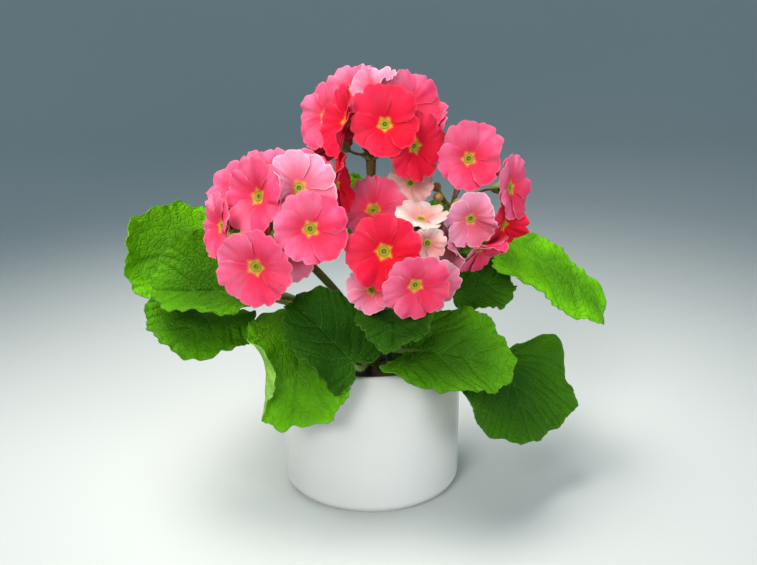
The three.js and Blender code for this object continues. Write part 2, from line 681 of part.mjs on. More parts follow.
// Every leaf and stalk stands first, and then the flowers open among them one by one.
// In the later rounds a flower that still meets another one bends its petals again.
function openedBlooms(leafSolids, scapes) {
  const names = Object.keys(UMBELS);
  const blooms = names.flatMap((name) => UMBELS[name].blooms.map((_, i) => seatedBloom(name, i)));
  for (let round = 0; round < OPENING_ROUNDS; round += 1) {
    for (const one of blooms) {
      const others = blooms.filter((other) => other !== one);
      const flowers = others.filter((other) => other.flower).map((other) => other.flower);
      const standing = [...leafSolids, ...scapes, ...others.map((other) => other.stalk), ...flowers];
      one.lifts = bentClear(one.bloom, standing);
      one.flower = solid(bloomGeometry({ ...one.bloom, lifts: one.lifts }, PETAL_THICKNESS));
    }
  }
  return blooms;
}

// Assembly

const plant = new THREE.Group();

function addPart(name, geometry, material) {
  const mesh = new THREE.Mesh(geometry, material);
  mesh.name = name;
  plant.add(mesh);
}

function stemFeet() {
  const stalks = LEAVES.map((leaf) => ({ x: leaf.foot[0], y: leaf.foot[1], radius: STALK_FOOT_RADIUS }));
  const scapes = Object.values(UMBELS).map(({ foot }) => ({ x: foot[0], y: foot[1], radius: SCAPE_RADIUS }));
  return [...stalks, ...scapes];
}

addPart("pot", potGeometry(), finish(COLOURS.ceramic, 0.25));
addPart("soil", soilGeometry(stemFeet()), finish(COLOURS.compost, 0.95));

const leafSolids = LEAVES.map(leafSolid);
leafSolids.forEach((leaf, i) => addPart(`leaf_${i + 1}`, geometryOf(leaf), finish(COLOURS.leaf, 0.6)));

const scapes = Object.values(UMBELS).map((umbel) => solid(scapeGeometry(umbel)));
const blooms = openedBlooms(leafSolids, scapes);
Object.entries(UMBELS).forEach(([name, umbel], i) => {
  const hub = new THREE.Vector3(...umbel.hub);
  const stalks = blooms.filter((one) => one.umbelName === name).map((one) => one.stalk);
  const buds = umbel.buds.map((bud) => solid(budGeometry(hub, bud)));
  addPart(`umbel_${name}`, geometryOf(joined([scapes[i], ...stalks, ...buds])), finish(COLOURS.stalk, 0.65));
});
for (const one of blooms) {
  addPart(one.name, geometryOf(one.flower), finish(COLOURS[one.bloom.tint], 0.55));
}

export default plant;
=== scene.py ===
import math
import random
from collections import namedtuple

import bmesh
import bpy
from bpy.props import FloatProperty, FloatVectorProperty, IntProperty, PointerProperty
from mathutils import Matrix, Vector, noise


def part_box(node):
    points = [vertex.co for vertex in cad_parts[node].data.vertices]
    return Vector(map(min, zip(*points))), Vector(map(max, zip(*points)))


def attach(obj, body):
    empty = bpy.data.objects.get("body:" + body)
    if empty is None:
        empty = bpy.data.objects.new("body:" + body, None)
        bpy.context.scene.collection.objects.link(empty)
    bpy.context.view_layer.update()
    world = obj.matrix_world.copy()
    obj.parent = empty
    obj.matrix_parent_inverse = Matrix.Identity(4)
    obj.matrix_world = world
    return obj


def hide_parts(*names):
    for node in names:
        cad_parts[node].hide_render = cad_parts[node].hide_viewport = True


# The part's solids, as they were packed, in metres. The shapes below are worked out in millimetres,
# and dressed() brings each finished piece to metres.
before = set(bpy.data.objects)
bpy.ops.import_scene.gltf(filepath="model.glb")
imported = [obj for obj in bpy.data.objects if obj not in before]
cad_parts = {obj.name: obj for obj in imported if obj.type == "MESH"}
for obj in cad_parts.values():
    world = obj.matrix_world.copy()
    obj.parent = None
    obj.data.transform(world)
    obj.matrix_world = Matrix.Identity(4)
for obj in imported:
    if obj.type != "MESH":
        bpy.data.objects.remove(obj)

bl_info = {
    "name": "Potted Primrose",
    "version": (1, 0, 0),
    "blender": (4, 5, 0),
    "location": "View3D > Sidebar > Primrose",
    "description": "Dresses a potted primrose: glazed pot, soil, waved leaves and flower heads",
    "category": "Object",
}

MM = 0.001
CLEARANCE = 0.3

# Pot. The foot ring's outline holds distances out from its edge and heights, and the inside's corner
# holds distances in from the wall and heights.
POT_LOW, POT_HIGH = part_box("pot")
POT_RADIUS = (POT_HIGH.y - POT_LOW.y) / 2 / MM
POT_HEIGHT = POT_HIGH.z / MM
POT_WALL = 4
POT_FLOOR = 6
FOOT_INSET = 5.5
FOOT_RING = ((-4.5, 0.6), (-3.8, 0), (-0.6, 0), (0, 0.5), (0.4, 1.3))
INNER_CORNER = ((0, 11), (1.2, 8.2), (4, 6.2))
BASE_ROUNDING, BASE_LIFT, BASE_TURN, BASE_STEPS = 7, 1.2, 68, 10
SIDE_STEPS, LIP_STEPS = 4, 14
BARE_CLAY, GLAZE_FADE = 1.4 * MM, 0.5 * MM

# Soil, with a low crown, a collar round each stem and loose crumbs
SOIL_LOW, SOIL_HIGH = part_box("soil")
SOIL_FLOOR = SOIL_LOW.z / MM
SOIL_TOP = SOIL_HIGH.z / MM
SOIL_CROWN_RISE = 3
SOIL_CROWN_SHARE = 0.6
SOIL_EDGE = SOIL_TOP - SOIL_CROWN_RISE
SOIL_CELLS = 84
SOIL_SIDE_FOOT, SOIL_FLOOR_INSET = 11, 4.3
LUMP_WIDTH, CLOD_WIDTH, CLOD_SHARE = 3.5, 11, 0.6
LUMP_SINK, LUMP_MOST = 0.35, 1.4
COLLAR_WIDTH, COLLAR_RISE = 4.5, 0.7
CRUMB_SIZES, CRUMB_REACH = (0.5, 1.7), 0.97

# Stems. Rises and leads are shares of the way from the soil to the hub.
ROOT_DEPTH = 9
STRAIGHT_FOOT = 3
STALK_FOOT_RADIUS, STALK_TOP_RADIUS, RIB_TIP_RADIUS = 2.4, 1.7, 0.4
STALK_STEPS, STALK_SIDES = 14, 9
SCAPE_RADIUS = 2.7
SCAPE_HEAD_SWELL, SCAPE_SWELL_START = 1.3, 0.86
SCAPE_RISE = 0.35
SCAPE_LEAD = 0.3
SCAPE_STEPS, SCAPE_SIDES = 16, 12
HAIR_RADIUS, HAIR_SINK, HAIR_LEAN = 0.07, 0.15, 0.3

# Leaf blades
BLADE_CENTRE = 0.46
BLADE_HALF_LENGTH = 0.54
BLADE_SCALLOP, BLADE_SCALLOPS = 0.03, 14
BLADE_TEETH = 52
BLADE_BEND_STEPS = 16
BLADE_EDGE = 1.05
HOOK_START = 0.6
CURL_SPREAD = 0.3
TIP_SWELL, TIP_WIDTH = 0.05, 22
LOBE_TURN, LOBE_WIDTH = 145, 24
NOTCH_DEPTH, NOTCH_DEEPENING, NOTCH_WIDTH = 0.13, 0.12, 13
RIB_SINK, RIB_GAP = 0.6, 0.35
RIB_STATIONS = (0.16, 0.28, 0.4, 0.51, 0.62, 0.72, 0.82)

# A blade's skin between the veins, and its rippled margin
VEIN_SHOULDER, VEIN_SINK = 0.06, 0.6
PUCKERS, PUCKER_HEIGHT = 9, 0.9
RIPPLES, RIPPLE_START, RIPPLE_HEIGHT = 23, 0.86, 0.8

# Veins: where each leaves the midrib, how far it runs ahead, and how far out it starts, as shares
# of the length. A fork leaves its own vein at a given width and runs ahead more or less than it does.
SIDE_VEINS = ((0, -0.55, 0), (0, 0.2, 0), (0.05, 0.72, 0), (0.31, 0.8, 0), (0.56, 0.9, 0))
FORKS = ((0, 0.13, -0.1), (1, 0.15, 0.6), (1, 0.2, -0.15), (2, 0.15, 1.15), (3, 0.14, 1.3))
VEINS = (*SIDE_VEINS, *(
    (SIDE_VEINS[parent][0] + at * (SIDE_VEINS[parent][1] - ahead), ahead, at) for parent, at, ahead in FORKS
))
VEIN_LEAN = 0.4
VEIN_STAGGER = 0.016
VEIN_WANDER, WANDER_BENDS = 0.028, 4

# Petals. Turns are in degrees from a petal's middle.
PETALS = 5
PITCH = 360 / PETALS
PETAL_CELLS_ACROSS, PETAL_CELLS_OUT = 24, 16
PETAL_LAYER, PETAL_CREST = 0.9, 19
PETAL_CUP = 14
PETAL_NARROW, PETAL_WIDE, PETAL_WIDEST_SHARE = 36, 50, 0.45
PETAL_ARCH, PETAL_RECURVE, PETAL_TILT = 0.04, 0.03, 0.4
PETAL_WAVE_RADIUS = 22
EASE_START, LENGTH_EASE_START = 14, 10
SHOULDER_START, SHOULDER_TURN, SHOULDER_FALL, SIDE_FALL = 20, 38, 0.1, 0.24
NOTCH_SHARE, NOTCH_HALF_WIDTH = 0.075, 3.6
JAG_MOST, JAG_TURN, JAG_HALF_WIDTH = 0.055, 21, 2.6
EDGE_WAVER = 0.016
GROOVE_SHARE, GROOVE_HALF_WIDTH = 0.02, 5
MIDDLE_HALF_WIDTH = 5

# Throat, tube, green cup and flower stalk
THROAT_RADIUS = 2.4
TUBE_RADIUS = 1.6
TUBE_SHOWN = 6
TUBE_SIDES = 15
PISTIL_RADIUS = 0.5
CALYX_LENGTH = 8
CALYX_RADIUS = 4.2
CALYX_TOOTH, CALYX_RIB = 0.95, 0.05
CALYX_BROAD_FLOWER = 18
CUP_SIDES = 20
PEDICEL_RADIUS = 1.1
PEDICEL_TAPER = 0.85
PEDICEL_LEAVING = 0.4
PEDICEL_ARRIVING = 0.35
PEDICEL_STEPS, PEDICEL_SIDES = 9, 7
BUD_STEPS, BUD_SIDES = 6, 14
OPENING_SIZE = 5

# Bracts, from the hub outwards
BRACTS, BRACT_TURN = 6, 12
BRACT_LENGTHS = (6.5, 9)
BRACT_HALF_WIDTH = 1.15
BRACT_THICKNESS = 0.45
BRACT_START, BRACT_DROP = 2.4, 2.2
BRACT_SPREAD, BRACT_RISE, BRACT_DROOP, BRACT_KEEL = 0.75, 0.62, 0.06, 0.35

# Seeds of the random draws
SOIL_SEED, LEAF_SEED, STEM_SEED, VEIN_SEED = 7, 100, 500, 3

# Millimetres, and degrees for turns, climbs and bends
LEAF_DEFAULTS = dict(
    roll=0, droop=20, hook=0, fold=6, cup=10, lobes=0.1, rise=30, lead=25,
    curl=(0, 0), curl_from=(-1, -1), curl_start=0.5, wave=3, waves=5,
)
WAVE_PHASE_STEP = 70

# A leaf's joint is where its stalk meets its blade, its heading is the midrib's azimuth and climb there,
# and its foot is where the stalk leaves the soil. Curl laps over the margin on the left and on the right.
LEAVES = [
    # back left of the pot, high, facing the front right, with its tip turned up
    dict(joint=(-97, 10, 146), heading=(175, 18), roll=-48, length=80, width=82, droop=-10, hook=-50,
         fold=2, cup=16, foot=(-16, 6), lead=40),
    # left, in front of the first one, folded up along its midrib
    dict(joint=(-83, -29, 147), heading=(195, 6), roll=-35, length=58, width=82, droop=6, fold=30, cup=6,
         foot=(-13, -5), lead=28, rise=36),
    # low left, sloping down to the front
    dict(joint=(-100, -22, 137), heading=(246, -10), roll=-20, length=56, width=72, droop=12, fold=2,
         foot=(-15, -12), lead=40),
    # front left, lying over the rim and hanging down the pot, its left margin lapped over
    dict(joint=(-46, -34, 128), heading=(275, 4), roll=-6, length=82, width=70, droop=112, cup=8,
         curl=(0, 160), curl_from=(-1, 0.33), curl_start=0.3, foot=(-10, -18), lead=15, rise=14, lobes=0.25),
    # front, standing up and leaning to the left over the rim
    dict(joint=(-11, -72, 114), heading=(168, 48), roll=-42, length=54, width=56, droop=16, fold=14, cup=7,
         foot=(-3, -19), lead=12, rise=4, lobes=0.35),
    # small young leaf at the front, cupped
    dict(joint=(15, -50, 141), heading=(268, -8), roll=0, length=42, width=50, droop=16, fold=12, cup=12,
         foot=(3, -22), lead=12, rise=21),
    # front right, large, cupped and lying over the rim
    dict(joint=(23, -53, 116), heading=(-18, 4), roll=26, length=68, width=72, droop=28, fold=8, cup=6,
         foot=(13, -14), lead=18, rise=11, lobes=0.3),
    # low right, hanging beside the pot with its face to the front
    dict(joint=(89, -21, 97), heading=(-60, -42), roll=-15, length=58, width=112, droop=22, fold=0,
         foot=(16, -8), lead=26, rise=25, lobes=0.45),
    # middle right, in the shade behind the flowers
    dict(joint=(57, 3, 140), heading=(2, 10), roll=38, length=42, width=50, droop=20, foot=(18, -1)),
    # high right, narrow and drooping, with its tip turned under
    dict(joint=(93, 14, 168), heading=(-3, -22), roll=34, length=98, width=52, droop=28, hook=15, fold=-14,
         foot=(17, 6), lead=40),
    # tall back leaf, its tip showing above the flower heads
    dict(joint=(2, 42, 152), heading=(150, 60), roll=-10, length=68, width=44, droop=-8,
         foot=(3, 17), lead=35),
    # back right
    dict(joint=(48, 42, 155), heading=(44, 30), roll=20, length=64, width=64, droop=30, cup=16,
         foot=(13, 12), lead=36, rise=23),
    # back left, low
    dict(joint=(-52, 46, 150), heading=(140, 20), roll=-10, length=84, width=84, droop=38, foot=(-10, 14),
         lead=29, rise=23),
]
LEAVES = [{**LEAF_DEFAULTS, "phase": WAVE_PHASE_STEP * i, **leaf} for i, leaf in enumerate(LEAVES)]

# How bright and yellow each leaf's green is: partly the leaf's age, partly painted light and painted shade,
# dark for leaves in shade under the flowers and bright for lit ones
YOUTH_AND_LIGHT = (0.8, 0.5, 0.4, 0.7, 0.08, 0.1, 0.35, 0.2, 0.2, 0.9, 0.9, 0.4, 0.4)

Bloom = namedtuple("Bloom", "seat face tint roll radius sizes", defaults=((1, 1, 1, 1, 1),))
LONG_TOP = (1.18, 1.18, 1, 1, 1)

# Each flower: seat (azimuth, climb and reach from the hub), face (where it looks), tint, roll, radius
# and the length of each petal as a share of the radius. A bud has a seat and a size.
UMBELS = {
    "top": dict(hub=(0, 4, 231), foot=(1, 7), arrival=(90, 88), buds=(), blooms=(
        Bloom((-76, 35, 45), (-90, 16), "coral", 18, 22, LONG_TOP),
        Bloom((-46, 16, 41), (-54, 0), "coral", 0, 23),
        Bloom((-120, 42, 39), (-146, 16), "coral", 30, 25),
        Bloom((178, 42, 40), (-150, 18), "rose", 10, 24),
        Bloom((-15, 54, 42), (-58, 34), "rose", 40, 24),
        Bloom((160, 74, 45), (-112, 50), "rose", 20, 21),
        Bloom((-70, 76, 45), (-84, 68), "blush", 50, 20),
        Bloom((35, 60, 46), (-40, 52), "blush", 10, 21),
        Bloom((4, 27, 44), (-2, 12), "rose", 30, 19),
        Bloom((105, 44, 40), (95, 40), "rose", 0, 21),
        Bloom((135, 12, 36), (142, 24), "coral", 12, 21),
        Bloom((52, 20, 40), (44, 18), "rose", 25, 21),
    )),
    "left": dict(hub=(-59, -30, 192), foot=(-7, 1), arrival=(200, 62), buds=(((-104, 8, 36), 6),), blooms=(
        Bloom((-102, -18, 48), (-102, -3), "rose", 20, 25),
        Bloom((-60, 9, 47), (-84, 10), "rose", 8, 24),
        Bloom((-107, 40, 38), (-130, 16), "rose", 30, 25),
        Bloom((-57, 45, 41), (-78, 26), "blush", 15, 24),
        Bloom((-72, -15, 37), (-62, -10), "blush", 0, 19),
        Bloom((-140, 8, 42), (-150, 10), "rose", 12, 21),
        Bloom((178, 42, 36), (-135, 40), "rose", 33, 22),
        Bloom((-118, 76, 34), (-100, 58), "rose", 45, 21),
        Bloom((25, 62, 38), (-66, 60), "rose", 5, 20),
        Bloom((10, 36, 46), (-14, 16), "coral", 22, 22),
        Bloom((114, 38, 36), (110, 34), "rose", 40, 21),
        Bloom((160, 8, 37), (160, 10), "rose", 3, 20),
    )),
    "right": dict(hub=(54, 8, 196), foot=(8, 3), arrival=(10, 70), buds=(
        ((-150, 52, 22), 3.2), ((-125, 30, 22), 3.2), ((-80, 20, 22), 3),
    ), blooms=(
        Bloom((-66, 58, 43), (-84, 12), "rose", 12, 22, LONG_TOP),
        Bloom((-8, 20, 42), (-34, 8), "rose", 30, 23),
        Bloom((-74, 0, 37), (-70, -8), "blush", 0, 20),
        Bloom((-50, -38, 37), (-48, -34), "rose", 22, 21),
        Bloom((-90, -29, 39), (-148, -4), "blush", 10, 16),
        Bloom((60, 36, 40), (60, 34), "rose", 10, 21),
        Bloom((-12, -16, 38), (-20, -12), "coral", 35, 21),
    )),
    "centre": dict(hub=(21, -18, 171), foot=(4, -5), arrival=(-40, 80), buds=(), blooms=(
        Bloom((-105, 15, 51), (-90, 8), "coral", 0, 24.5),
        Bloom((-84, -5, 58), (-76, -10), "rose", 25, 22),
        Bloom((165, 54, 34), (-108, 54), "rose", 10, 26),
        Bloom((-62, 50, 36), (-70, 70), "cream", 30, 18),
        Bloom((-68, 22, 41), (-76, 14), "cream", 0, 12.5),
        Bloom((60, 78, 46), (-88, 30), "cream", 12, 16),
        Bloom((-118, -18, 46), (-110, -4), "blush", 20, 17),
        Bloom((-64, -14, 43), (-62, -14), "blush", 8, 19),
    )),
}


def colour_setting(name, description, default):
    return FloatVectorProperty(
        name=name, description=description, subtype="COLOR", size=3, min=0, max=1, default=default,
    )


def length_setting(name, description, default, least, most):
    """A length, given here in millimetres."""
    return FloatProperty(
        name=name, description=description, unit="LENGTH", default=default * MM, min=least * MM,
        max=most * MM,
    )


def power_setting(name, description, default):
    return FloatProperty(name=name, description=description, unit="POWER", default=default, min=0, max=200)


def count_setting(name, description, default, least, most):
    return IntProperty(name=name, description=description, default=default, min=least, max=most)


class PrimrosePotSettings(bpy.types.PropertyGroup):
    """Sizes and colours of the glazed pot."""

    glaze: colour_setting("Glaze", "Colour of the white glaze", (0.62, 0.61, 0.59))
    wall: length_setting("Wall", "Thickness of the pot's wall", POT_WALL, 2, 8)
    turns: count_setting("Steps", "Steps in which the pot is turned", 144, 24, 288)


class PrimroseSoilSettings(bpy.types.PropertyGroup):
    """Sizes and colours of the soil."""

    earth: colour_setting("Earth", "Colour of the moist soil", (0.035, 0.022, 0.014))
    crumb: length_setting("Crumb", "Height of the crumbs on the soil", 1.6, 0, 4)
    crumbs: count_setting("Loose crumbs", "Number of loose crumbs", 420, 0, 2000)


class PrimroseLeafSettings(bpy.types.PropertyGroup):
    """Sizes and colours of the leaves."""

    # The upper face runs from the dark face colour to the bright young colour: partly the leaves' age,
    # partly painted shade and painted light
    face: colour_setting("Upper face", "Colour of the upper face", (0.005, 0.042, 0.001))
    under: colour_setting("Underside", "Colour of the underside", (0.24, 0.5, 0.045))
    young: colour_setting("Young face", "Colour of the upper face of the young leaves", (0.16, 0.53, 0.0015))
    vein: colour_setting("Veins", "Colour of the veins and the margin", (0.13, 0.31, 0.035))
    thickness: length_setting("Thickness", "Thickness of a blade", 0.7, 0.3, 1.5)
    relief: length_setting("Relief", "Depth of the sunk veins", 0.4, 0, 2)
    tooth: length_setting("Teeth", "Depth of the fine teeth on the margin", 0.55, 0, 2)
    cells: count_setting("Cells", "Cells across each blade", 72, 24, 100)


class PrimroseFlowerSettings(bpy.types.PropertyGroup):
    """Sizes and colours of the flowers."""

    coral: colour_setting("Coral", "Colour of the coral flowers", (0.72, 0.007, 0.042))
    rose: colour_setting("Rose", "Colour of the rose flowers", (0.8, 0.05, 0.15))
    blush: colour_setting("Blush", "Colour of the pale pink flowers", (0.78, 0.24, 0.36))
    cream: colour_setting("Cream", "Colour of the cream flowers", (0.74, 0.6, 0.5))
    eye: colour_setting("Eye", "Colour of the star round the throat", (0.6, 0.46, 0.03))
    throat: colour_setting("Throat", "Colour deep in the throat", (0.1, 0.14, 0.012))
    thickness: length_setting("Thickness", "Thickness of a petal", 0.4, 0.2, 1)
    wave: length_setting("Wave", "Height of the waves along a petal's rim", 0.9, 0, 3)


class PrimroseStemSettings(bpy.types.PropertyGroup):
    """Sizes and colours of the stems, the green cups and the hairs."""

    skin: colour_setting("Skin", "Colour of the stems", (0.15, 0.075, 0.03))
    cup: colour_setting("Green cup", "Colour of the cup under each flower", (0.19, 0.27, 0.06))
    hair: length_setting("Hair", "Length of the hairs on the stems", 1.3, 0, 4)
    hair_gap: length_setting("Hair spacing", "Mean distance between two hairs", 1.7, 0.8, 6)


class PrimroseStageSettings(bpy.types.PropertyGroup):
    """Floor colour, light powers and room light."""

    floor: colour_setting("Floor", "Colour of the pale floor", (0.6, 0.615, 0.6))
    key: power_setting("Key light", "Power of the large soft light overhead", 3.1)
    fill: power_setting("Fill light", "Power of the soft light at the right", 0.9)
    front: power_setting("Front light", "Power of the soft light at the front left", 1.2)
    room: FloatProperty(
        name="Room light", description="Strength of the light from all round", default=0.35, min=0, max=5,
    )


GROUPS = {
    "pot": PrimrosePotSettings,
    "soil": PrimroseSoilSettings,
    "leaf": PrimroseLeafSettings,
    "flower": PrimroseFlowerSettings,
    "stem": PrimroseStemSettings,
    "stage": PrimroseStageSettings,
}


def settings(group):
    return getattr(bpy.context.scene, f"primrose_{group}")


# Small helpers


def smooth(low, high, value):
    share = min(max((value - low) / (high - low), 0), 1)
    return share * share * (3 - 2 * share)


def bell(offset, width):
    return math.exp(-((offset / width) ** 2))


def blend(first, second, share):
    return first + (second - first) * share


def direction(azimuth, climb):
    """A unit vector from its azimuth about +Z and its climb above the level, in degrees."""
    level = math.cos(math.radians(climb))
    turn = math.radians(azimuth)
    return Vector((level * math.cos(turn), level * math.sin(turn), math.sin(math.radians(climb))))


def turn_from_up(axis):
    """The turn that brings the upright axis to another one."""
    return Vector((0, 0, 1)).rotation_difference(axis)


def disc_place(x, y):
    """The share of the radius and the turn on a disc, of a point on a square of side 2."""
    across = x * math.sqrt(1 - y * y / 2)
    along = y * math.sqrt(1 - x * x / 2)
    return math.hypot(across, along), math.atan2(along, across)


def bezier(points, share):
    """The place at a share of a cubic curve."""
    rest = 1 - share
    weights = (rest**3, 3 * rest**2 * share, 3 * rest * share**2, share**3)
    return sum((point * weight for point, weight in zip(points, weights)), Vector((0, 0, 0)))


def of_kind(elements, kind):
    return [element for element in elements if isinstance(element, kind)]


def dressed(name, bm, finishes, slot, *nodes):
    """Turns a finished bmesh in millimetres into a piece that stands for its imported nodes."""
    bmesh.ops.scale(bm, vec=(MM, MM, MM), verts=bm.verts)
    mesh = bpy.data.meshes.new(name)
    for face in bm.faces:
        face.smooth = True
    bm.to_mesh(mesh)
    bm.free()
    for finish in finishes:
        mesh.materials.append(finish)
    piece = bpy.data.objects.new(name, mesh)
    bpy.context.scene.collection.objects.link(piece)
    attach(piece, "root")
    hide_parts(*nodes)
    return piece


def merge_into(bm, other):
    """Adds the geometry of another bmesh, which is used up."""
    mesh = bpy.data.meshes.new("passing")
    other.to_mesh(mesh)
    other.free()
    bm.from_mesh(mesh)
    bpy.data.meshes.remove(mesh)


def thickened(bm, thickness, under=0):
    """Closes an open sheet into a blade, whose upper face stands on the sheet along its normals.
    Under is the finish of its lower face."""
    bm.normal_update()
    rise = bm.verts.layers.float_vector.new("rise")
    for vert in bm.verts:
        vert[rise] = vert.normal
    lower = list(bm.faces)
    grown = bmesh.ops.extrude_face_region(bm, geom=lower, use_keep_orig=True)["geom"]
    for vert in of_kind(grown, bmesh.types.BMVert):
        vert.co += vert[rise] * thickness
    bmesh.ops.reverse_faces(bm, faces=lower)
    for face in lower:
        face.material_index = under
    sheets = {*lower, *of_kind(grown, bmesh.types.BMFace)}
    for face in bm.faces:
        if face not in sheets:
            for edge in face.edges:
                if not sheets.isdisjoint(edge.link_faces):
                    edge.smooth = False
    bm.verts.layers.float_vector.remove(rise)


def ring_frames(stations):
    """A matrix for each station of a rod, with its Z along the rod and its radius as the scale.
    Stations hold a centre and a radius."""
    frames = []
    side = Vector((1, 0, 0))
    last = len(stations) - 1
    for i, (centre, radius) in enumerate(stations):
        tangent = (stations[min(i + 1, last)][0] - stations[max(i - 1, 0)][0]).normalized()
        if i == 0 and abs(tangent.x) > 0.9:
            side = Vector((0, 1, 0))
        side = (side - tangent * side.dot(tangent)).normalized()
        turned = Matrix((side, tangent.cross(side), tangent)).transposed().to_4x4()
        frames.append(Matrix.Translation(centre) @ turned @ Matrix.Diagonal((radius, radius, 1, 1)))
    return frames


def turned_frames(profile, foot, axis, turned):
    """A matrix for each ring of a round shape about an axis. The profile holds heights and radii."""
    return [
        Matrix.Translation(foot + axis * height) @ turned @ Matrix.Diagonal((radius, radius, 1, 1))
        for height, radius in profile
    ]


def rod(bm, frames, sides, material=0):
    """A closed round rod, extruded from ring to ring."""
    made = bmesh.ops.create_circle(bm, cap_ends=True, segments=sides, radius=1, matrix=frames[0])
    start = face = made["verts"][0].link_faces[0]
    for i, (before, after) in enumerate(zip(frames, frames[1:])):
        grown = bmesh.ops.extrude_face_region(bm, geom=[face], use_keep_orig=True)["geom"]
        if i > 0:
            bmesh.ops.delete(bm, geom=[face], context="FACES_ONLY")
        face = of_kind(grown, bmesh.types.BMFace)[0]
        bmesh.ops.transform(bm, matrix=after @ before.inverted(), verts=face.verts[:])
        for edge in face.edges:
            for side in edge.link_faces:
                side.material_index = material
    bmesh.ops.reverse_faces(bm, faces=[start])
    start.material_index = material


def hairs(bm, rng, frames, material, shorter=1, sparser=1):
    """Fine hairs that stand out from a rod, rooted under its skin and tilted a little at random."""
    stem = settings("stem")
    length, gap = stem.hair / MM * shorter, stem.hair_gap / MM * sparser
    if length <= 0:
        return
    coat = bmesh.new()
    for before, after in zip(frames, frames[1:]):
        span = (after.translation - before.translation).length
        radius = before.to_scale().x
        number = int(span * 2 * math.pi * radius / gap**2 + rng.random())
        for _ in range(number):
            share = rng.random()
            turn = rng.random() * 2 * math.pi
            ring = Vector((math.cos(turn), math.sin(turn), 0))
            root = (before @ ring).lerp(after @ ring, share)
            axis = before.translation.lerp(after.translation, share)
            outward = (root - axis).normalized()
            tilt = Vector((rng.uniform(-1, 1), rng.uniform(-1, 1), rng.uniform(-1, 1)))
            outward = (outward + tilt * HAIR_LEAN).normalized()
            reach = length * rng.uniform(0.6, 1.2)
            place = Matrix.Translation(root + outward * (reach / 2 - HAIR_SINK))
            bmesh.ops.create_cone(
                coat, cap_ends=True, segments=3, radius1=HAIR_RADIUS, radius2=0, depth=reach,
                matrix=place @ turn_from_up(outward).to_matrix().to_4x4(),
            )
    for face in coat.faces:
        face.material_index = material
    merge_into(bm, coat)


# Finishes

# Colours that no setting holds: a dull and a bright one, or one alone
BARE_CLAY_TONES = (0.62, 0.57, 0.49), (0.74, 0.69, 0.6)
SOIL_FIBRE = (0.19, 0.12, 0.065)
HAIR_TONES = (0.5, 0.52, 0.32), (0.75, 0.76, 0.6)
CLOSED_BUD_TONES = (0.3, 0.15, 0.04), (0.55, 0.27, 0.09)
OPENING_BUD_TONES = (0.75, 0.22, 0.13), (0.85, 0.4, 0.24)
PISTIL_TONES = (0.2, 0.26, 0.03), (0.5, 0.52, 0.12)
PALE_PINK = (0.8, 0.3, 0.45)
PETAL_RIM = (0.84, 0.64, 0.68)
THROAT_RING = (0.2, 0.25, 0.015)

# How much of each colour of petal goes over to the pale pink, and how pale its rim is
PALENESS = {"coral": 0.07, "rose": 0.45, "blush": 0.7, "cream": 0.3}
RIM_SHARE = {"coral": 0.05, "rose": 0.12, "blush": 0.5, "cream": 0.3}
DEEPENING = (0.86, 0.25, 0.3)

# The side towards which the petals get painted light, up and to the left; the far side gets painted shade
PAINTED_LIGHT_SIDE = Vector((-0.8, 0, 0.6))

# Half the width of the lines over the veins as shares of a blade's length, on each face of a leaf
FACE_VEIN_LINE, UNDER_VEIN_LINE = 0.0065, 0.012


class Signal:
    """One socket of a finish. Plain arithmetic on it adds Math nodes."""

    def __init__(self, finish, socket):
        self.finish = finish
        self.socket = socket

    def math(self, operation, *values):
        sockets = dict(enumerate(values))
        return self.finish.node("ShaderNodeMath", {"operation": operation}, sockets)

    def __add__(self, other):
        return self.math("ADD", self, other)

    def __sub__(self, other):
        return self.math("SUBTRACT", self, other)

    def __rsub__(self, other):
        return self.math("SUBTRACT", other, self)

    def __mul__(self, other):
        return self.math("MULTIPLY", self, other)

    def __truediv__(self, other):
        return self.math("DIVIDE", self, other)

    def __abs__(self):
        return self.math("ABSOLUTE", self)

    __radd__ = __add__
    __rmul__ = __mul__

    def least(self, other):
        return self.math("MINIMUM", self, other)

    def most(self, other):
        return self.math("MAXIMUM", self, other)

    def ramp(self, low, high):
        """0 below low and 1 above high, or the other way round where low is the larger one."""
        sockets = {"Value": self, "From Min": low, "From Max": high}
        return self.finish.node("ShaderNodeMapRange", {"interpolation_type": "SMOOTHSTEP"}, sockets)


